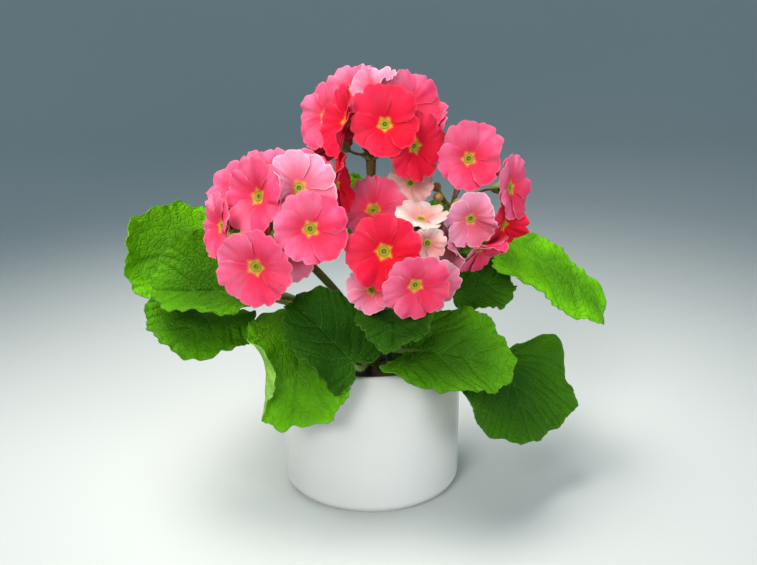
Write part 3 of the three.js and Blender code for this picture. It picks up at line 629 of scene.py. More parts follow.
class Finish:
    """A material and the nodes that make its colour, gloss and relief."""

    def __init__(self, name):
        self.material = bpy.data.materials.new(name)
        self.material.use_nodes = True
        self.tree = self.material.node_tree
        self.tree.nodes.clear()

    def node(self, kind, choices=None, sockets=None, output=0):
        made = self.tree.nodes.new(kind)
        for name, value in (choices or {}).items():
            setattr(made, name, value)
        for name, value in (sockets or {}).items():
            socket = made.inputs[name]
            if isinstance(value, Signal):
                self.tree.links.new(value.socket, socket)
            else:
                socket.default_value = value
        return Signal(self, made.outputs[output])

    def place(self):
        return self.node("ShaderNodeTexCoord", output="Object")

    def attribute(self, name):
        return self.node("ShaderNodeAttribute", {"attribute_name": name}, output="Vector")

    def parts(self, vector):
        """The X, Y and Z of a vector."""
        first = self.node("ShaderNodeSeparateXYZ", sockets={0: vector})
        return tuple(Signal(self, output) for output in first.socket.node.outputs)

    def joined(self, *values):
        """The vector of an X, a Y and a Z."""
        return self.node("ShaderNodeCombineXYZ", sockets=dict(enumerate(values)))

    def noise(self, vector, scale, detail=3, roughness=0.5):
        sockets = {"Vector": vector, "Scale": scale, "Detail": detail, "Roughness": roughness}
        return self.node("ShaderNodeTexNoise", sockets=sockets)

    def cells(self, vector, scale, feature="DISTANCE_TO_EDGE"):
        return self.node("ShaderNodeTexVoronoi", {"feature": feature}, {"Vector": vector, "Scale": scale})

    def mixed(self, share, first, second):
        """Colour first where the share is 0, and second where it is 1."""
        sockets = {0: share}
        for index, colour in ((6, first), (7, second)):
            sockets[index] = colour if isinstance(colour, Signal) else (*colour, 1)
        return self.node("ShaderNodeMix", {"data_type": "RGBA"}, sockets, output=2)

    def scaled(self, vector, factors):
        sockets = {0: vector, 1: factors}
        return self.node("ShaderNodeVectorMath", {"operation": "MULTIPLY"}, sockets)

    def relief(self, height, strength, distance):
        sockets = {"Height": height, "Strength": strength, "Distance": distance}
        return self.node("ShaderNodeBump", sockets=sockets)

    def done(self, colour, roughness, normal=None, constants=None):
        """Feeds the shader and gives back the finished material."""
        sockets = {"Base Color": colour, "Roughness": roughness, **(constants or {})}
        if normal:
            sockets["Normal"] = normal
        shader = self.node("ShaderNodeBsdfPrincipled", sockets=sockets)
        output = self.tree.nodes.new("ShaderNodeOutputMaterial")
        self.tree.links.new(shader.socket, output.inputs["Surface"])
        return self.material


def darker(colour, share):
    return tuple(value * share for value in colour)


def glaze_finish():
    """White glaze with a faint cloud, worn off to bare clay on the foot."""
    finish = Finish("white_glaze")
    place = finish.place()
    height = finish.parts(place)[2]
    glaze = tuple(settings("pot").glaze)
    cloud = finish.noise(place, 18, 2)
    white = finish.mixed(cloud.ramp(0.35, 0.65), darker(glaze, 0.965), glaze)
    raw = finish.mixed(finish.noise(place, 400, 4), *BARE_CLAY_TONES)
    bare = height.ramp(BARE_CLAY + GLAZE_FADE, BARE_CLAY)
    skin = finish.relief(finish.noise(place, 55, 2), 0.12, 0.6 * MM)
    roughness = finish.noise(place, 30, 3) * 0.08 + 0.17 + bare * 0.5
    coat = {"Coat Weight": 0.25, "Coat Roughness": 0.08}
    return finish.done(finish.mixed(bare, white, raw), roughness, skin, coat)


def earth_finish():
    """Moist crumbs with some pale fibres."""
    finish = Finish("moist_earth")
    place = finish.place()
    earth = tuple(settings("soil").earth)
    crumbs = finish.cells(place, 520, "F1")
    fibres = finish.noise(finish.scaled(place, (1, 2.2, 1)), 900, 4, 0.65)
    tone = finish.mixed(finish.noise(place, 140, 4), darker(earth, 0.45), darker(earth, 2.3))
    colour = finish.mixed(fibres.ramp(0.62, 0.74), tone, SOIL_FIBRE)
    bump = finish.relief(crumbs + fibres * 0.6, 0.8, 1.2 * MM)
    return finish.done(colour, 0.95 - fibres * 0.25, bump)


def leaf_finish(name, face, young, vein, line, gloss):
    """A leaf's skin, with its net of veins. The blade attribute holds the place along and across
    the blade as shares of its length, and how far out a point lies towards the margin."""
    finish = Finish(name)
    place = finish.place()
    blade = finish.attribute("blade")
    along, across, share = finish.parts(blade)
    nearest = vein_distance(along, across, Signal.least)
    flat = finish.scaled(blade, (1, 1, 0))
    net, fine = finish.cells(flat, 17), finish.cells(flat, 60)
    cloud = finish.noise(place, 45, 4, 0.6)
    grain = finish.noise(place, 900, 2, 0.6)
    youth = finish.parts(finish.attribute("youth"))[0]
    # The upper face and the veins go from dark to bright with each leaf's value, and grow brighter towards
    # the margin: partly the leaf's age, partly painted light and painted shade
    green = finish.mixed((youth * (share * share * 0.9 + 0.42)).least(1), face, young)
    vein = finish.mixed(youth, darker(vein, 0.45), vein)
    tone = finish.mixed(cloud.ramp(0.7, 0.3) * 0.3, green, darker(face, 0.7))
    paler = (
        grain.ramp(0.4, 0.75) * 0.08,
        net.ramp(0.05, 0) * 0.1 + fine.ramp(0.08, 0) * 0.05,
        nearest.ramp(line, line * 0.2) * 0.8,
        share.ramp(0.96, 0.998) * 0.45,
    )
    for mask in paler:
        tone = finish.mixed(mask, tone, vein)
    height = nearest.ramp(0, 0.05) + net.ramp(0, 0.15) * 0.6 + fine.ramp(0, 0.2) * 0.16 + grain * 0.05
    bump = finish.relief(height, 0.75, 1.1 * MM)
    return finish.done(tone, 0.42 + cloud * 0.16 + gloss, bump, {"Specular IOR Level": 0.07})


def stalk_finish(name):
    """Streaked skin, brown above and greener towards the soil."""
    finish = Finish(name)
    place = finish.place()
    skin = tuple(settings("stem").skin)
    green = tuple(settings("leaf").under)
    height = finish.parts(place)[2]
    streak = finish.noise(finish.scaled(place, (1, 1, 0.12)), 700, 3)
    tone = finish.mixed(streak.ramp(0.35, 0.7), darker(skin, 0.6), darker(skin, 1.7))
    cloud = finish.noise(place, 60, 2)
    greener = (cloud.ramp(0.4, 0.7) * 0.4 + height.ramp(0.2, 0.11) * 0.6).least(0.85)
    tone = finish.mixed(greener, tone, darker(green, 0.5))
    bump = finish.relief(streak, 0.3, 0.3 * MM)
    return finish.done(tone, 0.5 + streak * 0.2, bump)


def hair_finish():
    finish = Finish("stem_hair")
    return finish.done(finish.mixed(finish.noise(finish.place(), 500, 1), *HAIR_TONES), 0.45)


def cup_finish():
    """The cloudy, finely specked skin of the green cups and bracts."""
    finish = Finish("green_cup")
    place = finish.place()
    cup = tuple(settings("stem").cup)
    cloud = finish.noise(place, 120, 3)
    tone = finish.mixed(cloud, darker(cup, 0.6), darker(cup, 1.5))
    bump = finish.relief(finish.noise(place, 1500, 2), 0.25, 0.2 * MM)
    return finish.done(tone, 0.5 + cloud * 0.15, bump)


def bud_finish(name, dull, bright):
    finish = Finish(name)
    cloud = finish.noise(finish.place(), 260, 3)
    tone = finish.mixed(cloud.ramp(0.35, 0.65), dull, bright)
    return finish.done(tone, 0.5, finish.relief(cloud, 0.3, 0.4 * MM))


def petal_finish(tint):
    """Petals with fine rays, a pale rim and the star round the throat, with painted light towards the upper
    left and painted shade away from it. The petal attribute holds the share of the radius, the place across
    the petal, and the petal's own number. The rim attribute holds how near the rim is, and how far towards
    the painted light."""
    finish = Finish(f"{tint}_petal")
    flower = settings("flower")
    base = tuple(getattr(flower, tint))
    pale = tuple(blend(value, target, PALENESS[tint]) for value, target in zip(base, PALE_PINK))
    deep = tuple(value * share for value, share in zip(base, DEEPENING))
    reach, turn, own = finish.parts(finish.attribute("petal"))
    rim, painted_light_share, _ = finish.parts(finish.attribute("rim"))
    rays = finish.joined(turn * 6, reach * 1.3, own * 19)
    streak, fine = finish.noise(rays, 2.2, 5, 0.6), finish.noise(rays, 8, 2)
    patch = finish.noise(finish.joined(turn * 0.8, reach * 1.2, own * 31), 1.3, 2)
    # Paler patches and paler petals at random, and paler towards the upper left, which is painted light
    light = patch.ramp(0.36, 0.66) * 0.55 + own * 0.4 + painted_light_share * 0.25
    tone = finish.mixed(light.most(0).least(1), base, pale)
    # Deeper colour towards the throat and along the rays, and painted shade on the side away from the upper
    # left
    shade = reach.ramp(0.85, 0.2) * 0.75 + streak.ramp(0.5, 0.8) * 0.5 * (1.15 - reach)
    shade = shade + painted_light_share.ramp(0, -0.9) * 0.6
    tone = finish.mixed(shade.least(1), tone, deep)
    tone = finish.mixed(fine.ramp(0.5, 0.8) * 0.12, tone, pale)
    tone = finish.mixed(rim * RIM_SHARE[tint], tone, PETAL_RIM)
    ray = 1 - abs(turn)
    star = reach - (ray * ray * 0.07 + 0.13) + (streak - 0.5) * 0.22
    tone = finish.mixed(star.ramp(0.09, -0.04) * 0.85, tone, tuple(flower.eye))
    tone = finish.mixed((reach + (streak - 0.5) * 0.08).ramp(0.18, 0.1), tone, THROAT_RING)
    tone = finish.mixed(reach.ramp(0.11, 0.07), tone, tuple(flower.throat))
    bump = finish.relief(streak + fine * 0.4, 0.2, 0.5 * MM)
    return finish.done(tone, 0.6, bump, {"Specular IOR Level": 0.08})


def pistil_finish():
    finish = Finish("pistil")
    return finish.done(finish.mixed(finish.noise(finish.place(), 900, 2), *PISTIL_TONES), 0.4)


# Pot and soil


def outline_vertex(bm, x, z):
    return bmesh.ops.create_vert(bm, co=(x, 0, z))["vert"][0]


def line_to(bm, vert, x, z):
    """Draws the outline on to a point and returns its end."""
    end = bmesh.ops.extrude_vert_indiv(bm, verts=[vert])["verts"][0]
    end.co = (x, 0, z)
    return end


def arc_round(bm, vert, x, z, degrees, steps):
    """Draws an arc of the outline about a centre and returns its end."""
    spun = bmesh.ops.spin(
        bm, geom=[vert], cent=(x, 0, z), axis=(0, 1, 0), angle=-math.radians(degrees), steps=steps,
    )
    return of_kind(spun["geom_last"], bmesh.types.BMVert)[0]


def turned_round(bm, steps):
    """Turns the drawn outline about the upright axis into a closed body with its faces outwards."""
    bmesh.ops.spin(
        bm, geom=bm.verts[:] + bm.edges[:], cent=(0, 0, 0), axis=(0, 0, 1), angle=2 * math.pi,
        steps=steps, use_merge=True,
    )
    bmesh.ops.remove_doubles(bm, verts=bm.verts, dist=0.001)
    bmesh.ops.recalc_face_normals(bm, faces=bm.faces)


def build_pot():
    """Draws the pot's outline from its underside over the lip to its inner floor, and turns it."""
    pot = settings("pot")
    wall = pot.wall / MM
    lip = wall / 2
    foot = POT_RADIUS - FOOT_INSET
    bm = bmesh.new()
    vert = outline_vertex(bm, 0, FOOT_RING[0][1])
    for out, height in FOOT_RING:
        vert = line_to(bm, vert, foot + out, height)
    turn = math.radians(BASE_TURN)
    x, z = POT_RADIUS - BASE_ROUNDING, BASE_LIFT + BASE_ROUNDING
    vert = line_to(bm, vert, x + BASE_ROUNDING * math.cos(turn), z - BASE_ROUNDING * math.sin(turn))
    vert = arc_round(bm, vert, x, z, BASE_TURN, BASE_STEPS)
    for i in range(1, SIDE_STEPS + 1):
        vert = line_to(bm, vert, POT_RADIUS, blend(z, POT_HEIGHT - lip, i / SIDE_STEPS))
    vert = arc_round(bm, vert, POT_RADIUS - lip, POT_HEIGHT - lip, 180, LIP_STEPS)
    for inset, height in INNER_CORNER:
        vert = line_to(bm, vert, POT_RADIUS - wall - inset, height)
    line_to(bm, vert, 0, POT_FLOOR)
    turned_round(bm, pot.turns)
    dressed("glazed_pot", bm, [glaze_finish()], "pot_glaze", "pot")


def soil_crown(share):
    """The height of the soil's plain crown at a share of its radius."""
    return SOIL_EDGE + SOIL_CROWN_RISE * (1 - smooth(SOIL_CROWN_SHARE, 1, share))


def crumbly_height(x, y, share, crumb, feet):
    """The height of the soil's surface, with its crumbs and the collars round the stems."""
    spot = Vector((x, y, 0))
    rough = noise.fractal(spot / LUMP_WIDTH, 0.8, 2.1, 4) + CLOD_SHARE * noise.noise(spot / CLOD_WIDTH)
    collar = sum(bell(math.hypot(x - foot[0], y - foot[1]), COLLAR_WIDTH) for foot in feet)
    height = soil_crown(share) + crumb * (rough - LUMP_SINK) + COLLAR_RISE * min(collar, 1)
    return min(height, SOIL_TOP + LUMP_MOST)


def loose_crumb(bm, rng, radius):
    """One loose crumb, lying somewhere on the soil."""
    reach, turn = radius * CRUMB_REACH * math.sqrt(rng.random()), rng.random() * 2 * math.pi
    size = rng.uniform(*CRUMB_SIZES)
    height = soil_crown(reach / radius) + size * 0.1
    place = Matrix.Translation((reach * math.cos(turn), reach * math.sin(turn), height))
    turned = Matrix.Rotation(rng.random() * 6, 4, "Z") @ Matrix.Rotation(rng.random() * 6, 4, "X")
    shape = Matrix.Diagonal((1, rng.uniform(0.5, 0.9), rng.uniform(0.4, 0.8), 1))
    bmesh.ops.create_icosphere(bm, subdivisions=1, radius=size, matrix=place @ turned @ shape)


def build_soil():
    """Lays a crumbly disc, draws its side down to the pot's floor, and strews loose crumbs."""
    soil = settings("soil")
    radius = POT_RADIUS - POT_WALL - CLEARANCE
    feet = [grown["foot"] for grown in (*LEAVES, *UMBELS.values())]
    bm = bmesh.new()
    bmesh.ops.create_grid(bm, x_segments=SOIL_CELLS, y_segments=SOIL_CELLS, size=1)
    for vert in bm.verts:
        share, turn = disc_place(vert.co.x, vert.co.y)
        x, y = radius * share * math.cos(turn), radius * share * math.sin(turn)
        vert.co = (x, y, crumbly_height(x, y, share, soil.crumb / MM, feet))
    sides = [edge for edge in bm.edges if edge.is_boundary]
    for height, inset in ((SOIL_SIDE_FOOT, 0), (SOIL_FLOOR, SOIL_FLOOR_INSET)):
        grown = bmesh.ops.extrude_edge_only(bm, edges=sides)["geom"]
        sides = of_kind(grown, bmesh.types.BMEdge)
        for vert in of_kind(grown, bmesh.types.BMVert):
            share = (radius - inset) / math.hypot(vert.co.x, vert.co.y)
            vert.co = (vert.co.x * share, vert.co.y * share, height)
    bmesh.ops.holes_fill(bm, edges=sides, sides=0)
    bmesh.ops.recalc_face_normals(bm, faces=bm.faces)
    rng = random.Random(SOIL_SEED)
    for _ in range(soil.crumbs):
        loose_crumb(bm, rng, radius)
    dressed("potting_soil", bm, [earth_finish()], "compost", "soil")


# Leaves


class Blade:
    """A leaf's sheet, bent along its midrib and across it, and waved towards its margin."""

    def __init__(self, leaf):
        self.leaf = leaf
        azimuth, climb = leaf["heading"]
        self.ahead = direction(azimuth, climb)
        level = direction(azimuth + 90, 0)
        up = self.ahead.cross(level)
        roll = math.radians(leaf["roll"])
        self.left = level * math.cos(roll) + up * math.sin(roll)
        self.normal = up * math.cos(roll) - level * math.sin(roll)
        self.kept = {}

    def bend(self, share):
        leaf = self.leaf
        return math.radians(leaf["droop"] * share + leaf["hook"] * smooth(HOOK_START, BLADE_EDGE, share))

    def midrib(self, along):
        """The place on the midrib, and the blade's own normal there."""
        key = round(along, 2)
        if key not in self.kept:
            point = Vector(self.leaf["joint"])
            step = along / BLADE_BEND_STEPS
            for i in range(BLADE_BEND_STEPS):
                bend = self.bend((i + 0.5) * step / self.leaf["length"])
                point += self.ahead * (math.cos(bend) * step) - self.normal * (math.sin(bend) * step)
            bend = self.bend(along / self.leaf["length"])
            self.kept[key] = point, self.normal * math.cos(bend) + self.ahead * math.sin(bend)
        return self.kept[key]

    def place(self, along, across):
        leaf = self.leaf
        point, face = self.midrib(along)
        half = leaf["width"] / 2
        reach = abs(across) / half
        hand = 0 if across > 0 else 1
        start = leaf["curl_from"][hand]
        curl = leaf["curl"][hand] * smooth(start, start + CURL_SPREAD, along / leaf["length"])
        lateral = height = 0
        step = abs(across) / BLADE_BEND_STEPS
        for i in range(BLADE_BEND_STEPS):
            share = (i + 0.5) / BLADE_BEND_STEPS * reach
            slope = leaf["fold"] + leaf["cup"] * share
            if curl:
                slope += curl * smooth(leaf["curl_start"], BLADE_EDGE, share)
            slope = math.radians(slope)
            lateral += math.cos(slope) * step
            height += math.sin(slope) * step
        oval_along = (along / leaf["length"] - BLADE_CENTRE) / BLADE_HALF_LENGTH
        oval_turn = math.atan2(across / half, oval_along)
        wave = math.sin(leaf["waves"] * oval_turn + math.radians(leaf["phase"]))
        height += leaf["wave"] * math.hypot(oval_along, reach) ** 3 * wave
        return point + self.left * math.copysign(lateral, across) + face * height

    def outline(self, turn):
        """How far the flat outline reaches at a turn, as a share of the plain oval."""
        degrees = abs(math.degrees(math.atan2(math.sin(turn), math.cos(turn))))
        lobes = self.leaf["lobes"]
        notch = NOTCH_DEPTH + NOTCH_DEEPENING * lobes
        return (
            1 + TIP_SWELL * bell(degrees, TIP_WIDTH) + lobes * bell(degrees - LOBE_TURN, LOBE_WIDTH)
            - notch * bell(degrees - 180, NOTCH_WIDTH)
        )


def vein_distance(along, across, least=min):
    """How far a point of the blade lies from the nearest vein, as a share of its length.
    It works on plain numbers and, with their own way to take the least, on signals."""
    wide = abs(across)
    stagger = across / (wide + 0.002) * VEIN_STAGGER
    nearest = wide + along * 0.005
    for start, ahead, begin in VEINS:
        curve = wide * (wide * VEIN_LEAN + ahead) + start
        short = abs(wide - begin) - wide + begin
        off = abs(along - curve - stagger) * (1 / math.hypot(1, ahead + 0.2)) + short * 0.4
        nearest = least(nearest, off + wide * 0.01 + 0.001)
    return nearest


def toothed_reach(blade, share, turn, seed):
    """How far out a point of the disc comes on the oval, with the scallops and fine teeth."""
    scallop = BLADE_SCALLOP * math.cos(BLADE_SCALLOPS * turn)
    saw = (turn * BLADE_TEETH / (2 * math.pi)) % 1
    tooth = settings("leaf").tooth / MM
    jag = 2 * tooth / blade.leaf["width"] * (1 - 2 * saw) * (0.6 + 0.4 * math.sin(3 * turn + seed))
    return share * (blade.outline(turn) - scallop * share**3 + jag * share**12)


def skin_lift(along, across, share, relief, seed):
    """How far the skin stands above the sheet: sunk veins, puckers between them, a rippled margin."""
    gap = smooth(0, VEIN_SHOULDER, vein_distance(along, across))
    spot = Vector((along * PUCKERS, across * PUCKERS, seed))
    pucker = noise.noise(spot) * 0.7 + noise.noise(spot * 2.3) * 0.35
    lift = relief * (gap - VEIN_SINK) + pucker * PUCKER_HEIGHT * gap
    if share > RIPPLE_START:
        ripple = math.sin(RIPPLES * math.atan2(across, along - BLADE_CENTRE) + seed)
        lift += ripple * RIPPLE_HEIGHT * smooth(RIPPLE_START, 1, share)
    return lift


def blade_sheet(leaf, blade, number):
    """The blade's open sheet with its toothed margin, its veins sunk and its skin puckered."""
    values = settings("leaf")
    seed = number * 1.7
    length = leaf["length"]
    bm = bmesh.new()
    flat = bm.verts.layers.float_vector.new("blade")
    youth = bm.verts.layers.float_vector.new("youth")
    bmesh.ops.create_grid(bm, x_segments=values.cells, y_segments=values.cells, size=1)
    for vert in bm.verts:
        share, turn = disc_place(vert.co.x, vert.co.y)
        reach = toothed_reach(blade, share, turn, seed)
        along = length * (BLADE_CENTRE + BLADE_HALF_LENGTH * reach * math.cos(turn))
        across = leaf["width"] / 2 * reach * math.sin(turn)
        ahead, aside = along / length, across / length
        spot = Vector((ahead * WANDER_BENDS, aside * WANDER_BENDS, seed))
        wander = noise.noise_vector(spot) * VEIN_WANDER
        vert[flat] = (ahead + wander.x, aside + wander.y * smooth(0, 0.1, abs(aside)), share)
        # Each leaf's brightness value: partly its age, partly painted light and painted shade
        vert[youth] = (YOUTH_AND_LIGHT[number], 0, 0)
        vert.co = blade.place(along, across)
    bm.normal_update()
    for vert in bm.verts:
        vert.co += vert.normal * skin_lift(*vert[flat], values.relief / MM, seed)
    return bm


def leaf_path(leaf, blade):
    """The stalk stands in the soil, bends to its blade and runs on under it as the midrib."""
    foot = Vector((*leaf["foot"], SOIL_EDGE - ROOT_DEPTH))
    collar = Vector((*leaf["foot"], SOIL_TOP + STRAIGHT_FOOT))

    def under(along, radius):
        point, face = blade.midrib(along)
        return point - face * (radius * RIB_SINK + RIB_GAP)

    joint = under(0, STALK_TOP_RADIUS)
    ahead = (under(2, STALK_TOP_RADIUS) - joint).normalized()
    path = (collar, collar + Vector((0, 0, leaf["rise"])), joint - ahead * leaf["lead"], joint)
    stations = [(foot, STALK_FOOT_RADIUS)]
    for i in range(STALK_STEPS + 1):
        share = i / STALK_STEPS
        stations.append((bezier(path, share), blend(STALK_FOOT_RADIUS, STALK_TOP_RADIUS, share)))
    for share in RIB_STATIONS:
        radius = blend(STALK_TOP_RADIUS, RIB_TIP_RADIUS, smooth(-0.2, 0.8, share))
        stations.append((under(share * leaf["length"], radius), radius))
    return stations


def build_leaves():
    values = settings("leaf")
    face, young, under, vein = (
        tuple(colour) for colour in (values.face, values.young, values.under, values.vein)
    )
    pale = tuple(blend(value, 0.75, 0.3) for value in vein)
    finishes = [
        leaf_finish("leaf_face", face, young, vein, FACE_VEIN_LINE, 0),
        leaf_finish("leaf_underside", darker(under, 0.8), under, pale, UNDER_VEIN_LINE, 0.15),
        stalk_finish("leaf_stalk"),
        hair_finish(),
    ]
    _, underside, stalk, hair = range(len(finishes))
    noise.seed_set(VEIN_SEED)
    for i, leaf in enumerate(LEAVES):
        blade = Blade(leaf)
        bm = blade_sheet(leaf, blade, i)
        thickened(bm, values.thickness / MM, underside)
        frames = ring_frames(leaf_path(leaf, blade))
        rod(bm, frames, STALK_SIDES, stalk)
        hairs(bm, random.Random(LEAF_SEED + i), frames[2:-3], hair)
        dressed(f"waved_leaf_{i + 1}", bm, finishes, "leaf", f"leaf_{i + 1}")


# Flowers


def eye_of(hub, seat):
    azimuth, climb, reach = seat
    return Vector(hub) + direction(azimuth, climb) * reach


def measured_lifts(node, eye, turn, roll):
    """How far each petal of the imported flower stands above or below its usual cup, in degrees."""
    back = turn.inverted()
    gathered = [[] for _ in range(PETALS)]
    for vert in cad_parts[node].data.vertices:
        local = back @ (vert.co / MM - eye)
        out = math.hypot(local.x, local.y)
        if out < THROAT_RADIUS * 2.5:
            continue
        degrees = (math.degrees(math.atan2(local.y, local.x)) - roll) % 360
        petal, within = int(degrees // PITCH), degrees % PITCH
        if abs(within - PITCH / 2) < MIDDLE_HALF_WIDTH:
            gathered[petal].append(math.degrees(math.atan2(local.z, out - THROAT_RADIUS)) - PETAL_CUP)
    if not all(gathered):
        raise ValueError(f"{node} has fewer than {PETALS} petals where its seat says")
    return [sum(found) / len(found) for found in gathered]


class Petal:
    """One petal of a flower, with its own wavy rim. Its sides ease over to the lift and the length
    of the petals beside it."""

    def __init__(self, bloom, lifts, number, rng):
        self.bloom, self.lifts, self.number = bloom, lifts, number
        self.wave = settings("flower").wave / MM * bloom.radius / PETAL_WAVE_RADIUS
        self.phase, self.tilt, self.tone = rng.uniform(0, 6.28), rng.uniform(-1, 1), rng.random()
        self.jag = rng.uniform(0, JAG_MOST)
        self.notch = NOTCH_SHARE * rng.uniform(0.6, 1.5)

    def outline(self, degrees):
        """How far the petal reaches at a turn from its middle, as a share of its full length."""
        wide = abs(degrees)
        fall = (
            SHOULDER_FALL * smooth(SHOULDER_START, SHOULDER_TURN, wide)
            + SIDE_FALL * smooth(SHOULDER_TURN, PETAL_WIDE, wide)
        )
        small = self.jag * bell(wide - JAG_TURN, JAG_HALF_WIDTH)
        return 1 - self.notch * bell(wide, NOTCH_HALF_WIDTH) - fall - small

    def slope_and_size(self, degrees):
        """The petal's climb and its full length as a share of the radius, at a turn."""
        lifts, sizes = self.lifts, self.bloom.sizes
        wide = abs(degrees)
        other = (self.number + (1 if degrees > 0 else -1)) % PETALS
        over = 0.5 * smooth(EASE_START, PITCH / 2, wide) + 0.3 * smooth(PITCH / 2, PETAL_WIDE, wide)
        slope = math.radians(PETAL_CUP + blend(lifts[self.number], lifts[other], over))
        size = min(sizes[self.number], sizes[other])
        return slope, blend(sizes[self.number], size, smooth(LENGTH_EASE_START, PITCH / 2, wide))

    def relief(self, degrees, share):
        """How high the petal's form stands over its plain slope: its arch, its overlap with the
        petals beside it, the groove down its middle, and its waves."""
        radius, phase = self.bloom.radius, self.phase
        arch = radius * (PETAL_ARCH * math.sin(math.pi * min(share * 1.05, 1)) - PETAL_RECURVE * share**5)
        layer = -PETAL_LAYER * max(-1, min(1, degrees / PETAL_CREST)) * smooth(0, 0.8, share)
        groove = -GROOVE_SHARE * radius * bell(degrees, GROOVE_HALF_WIDTH) * smooth(0.05, 0.9, share)
        waves = math.sin(degrees * 0.14 + phase) + 0.45 * math.sin(degrees * 0.33 - phase)
        return arch, layer, groove, self.wave * share**3 * waves, self.tilt * PETAL_TILT * share

    def sheet(self):
        """The petal as an open sheet about the flower's upright axis, its middle on the X axis."""
        radius = self.bloom.radius
        bm = bmesh.new()
        mark = bm.verts.layers.float_vector.new("petal")
        rim = bm.verts.layers.float_vector.new("rim")
        bmesh.ops.create_grid(bm, x_segments=PETAL_CELLS_ACROSS, y_segments=PETAL_CELLS_OUT, size=1)
        for vert in bm.verts:
            side, share = vert.co.x, (vert.co.y + 1) / 2
            degrees = side * blend(PETAL_NARROW, PETAL_WIDE, smooth(0, PETAL_WIDEST_SHARE, share))
            slope, size = self.slope_and_size(degrees)
            waver = 1 + EDGE_WAVER * math.sin(degrees * 0.3 + self.phase)
            length = (radius * (size * self.outline(degrees) * waver) - THROAT_RADIUS) * share
            out = THROAT_RADIUS + math.cos(slope) * length
            height = sum(self.relief(degrees, share), math.sin(slope) * length)
            turn = math.radians(degrees)
            vert[mark] = ((THROAT_RADIUS + length) / radius, side, self.tone)
            vert[rim] = (max(smooth(0.92, 1, share), smooth(0.9, 1, abs(side)) * share), 0, 0)
            vert.co = (out * math.cos(turn), out * math.sin(turn), height)
        return bm


def add_throat(bm, pistil):
    """The tube under the flower, its raised ring with the sunk throat, and the pistil in it."""
    mark = bm.verts.layers.float_vector["petal"]
    known = len(bm.verts)
    shaft = (
        (-TUBE_SHOWN - 3, TUBE_RADIUS * 0.8), (-TUBE_SHOWN, TUBE_RADIUS), (-2.6, TUBE_RADIUS * 1.1),
        (-1, THROAT_RADIUS * 0.95), (0.05, THROAT_RADIUS + 0.45), (0.3, THROAT_RADIUS + 0.1),
        (0.1, THROAT_RADIUS * 0.75), (-0.2, 1.25), (-0.7, 0.95), (-1, 0.7),
    )
    rod(bm, turned_frames(shaft, Vector((0, 0, 0)), Vector((0, 0, 1)), Matrix.Identity(4)), TUBE_SIDES)
    bm.verts.ensure_lookup_table()
    for vert in bm.verts[known:]:
        vert[mark] = (min(0.06 + max(0, vert.co.z + 0.6) * 0.09, 0.15), 0.5, 0.5)
    known = len(bm.faces)
    knob = Matrix.Translation((0.15, 0.1, -0.6)) @ Matrix.Diagonal((1, 1, 0.8, 1))
    bmesh.ops.create_icosphere(bm, subdivisions=2, radius=PISTIL_RADIUS, matrix=knob)
    bm.faces.ensure_lookup_table()
    for face in bm.faces[known:]:
        face.material_index = pistil


def build_flower(name, hub, bloom, finishes, rng):
    """Five overlapping petals round a throat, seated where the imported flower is."""
    eye, turn = eye_of(hub, bloom.seat), turn_from_up(direction(*bloom.face))
    lifts = measured_lifts(name, eye, turn, bloom.roll)
    thickness = settings("flower").thickness / MM
    bm = bmesh.new()
    for number in range(PETALS):
        sheet = Petal(bloom, lifts, number, rng).sheet()
        thickened(sheet, thickness)
        middle = Matrix.Rotation(math.radians(bloom.roll + PITCH * (number + 0.5)), 4, "Z")
        drop = Matrix.Translation((0, 0, -thickness / 2))
        bmesh.ops.transform(sheet, matrix=drop @ middle, verts=sheet.verts)
        merge_into(bm, sheet)
    add_throat(bm, 1)
    bmesh.ops.transform(bm, matrix=Matrix.Translation(eye) @ turn.to_matrix().to_4x4(), verts=bm.verts)
    # How far each point lies towards the upper left, kept in the rim attribute, where the petal finish
    # paints light and paints shade on the far side
    rim = bm.verts.layers.float_vector["rim"]
    for vert in bm.verts:
        vert[rim] = (vert[rim][0], (vert.co - eye).dot(PAINTED_LIGHT_SIDE) / bloom.radius, 0)
    dressed(name.replace("bloom", "flower"), bm, finishes, f"petal_{bloom.tint}", name)


def build_flowers():
    pistil = pistil_finish()
    finishes = {tint: [petal_finish(tint), pistil] for tint in RIM_SHARE}
    for umbel_name, umbel in UMBELS.items():
        for i, bloom in enumerate(umbel["blooms"]):
            rng = random.Random(f"{umbel_name}{i}")
            build_flower(f"bloom_{umbel_name}_{i + 1}", umbel["hub"], bloom, finishes[bloom.tint], rng)


# Flower stems

SKIN, CUP, HAIR, CLOSED, OPENING = range(5)


def add_cup(bm, rng, base, axis, share):
    """A green cup with five teeth and five faint ribs, which holds a flower's tube."""
    shell = [
        (-0.3, 1.1), (0.6, 1.9), (2.2, 2.9), (4.4, 3.5), (6.4, 3.9), (CALYX_LENGTH, CALYX_RADIUS),
        (CALYX_LENGTH - 0.2, CALYX_RADIUS - 0.45), (6, 3.3), (3.5, 2.7), (1.8, 1.6),
    ]
    turned = turn_from_up(axis).to_matrix().to_4x4()
    rings = turned_frames([(height, radius * share) for height, radius in shell], base, axis, turned)
    known = len(bm.verts)
    rod(bm, rings, CUP_SIDES, CUP)
    bm.verts.ensure_lookup_table()
    for vert in bm.verts[known:]:
        above = (vert.co - base).dot(axis)
        around = (turned.inverted() @ (vert.co - base).to_4d()).to_3d()
        tooth = math.cos(PETALS * math.atan2(around.y, around.x))
        vert.co += axis * (tooth * CALYX_TOOTH * smooth(CALYX_LENGTH * 0.55, CALYX_LENGTH, above))
        vert.co += (vert.co - base - axis * above) * (CALYX_RIB * tooth * smooth(1, 5, above))
    hairs(bm, rng, rings[1:6], HAIR, 0.55, 1.5)


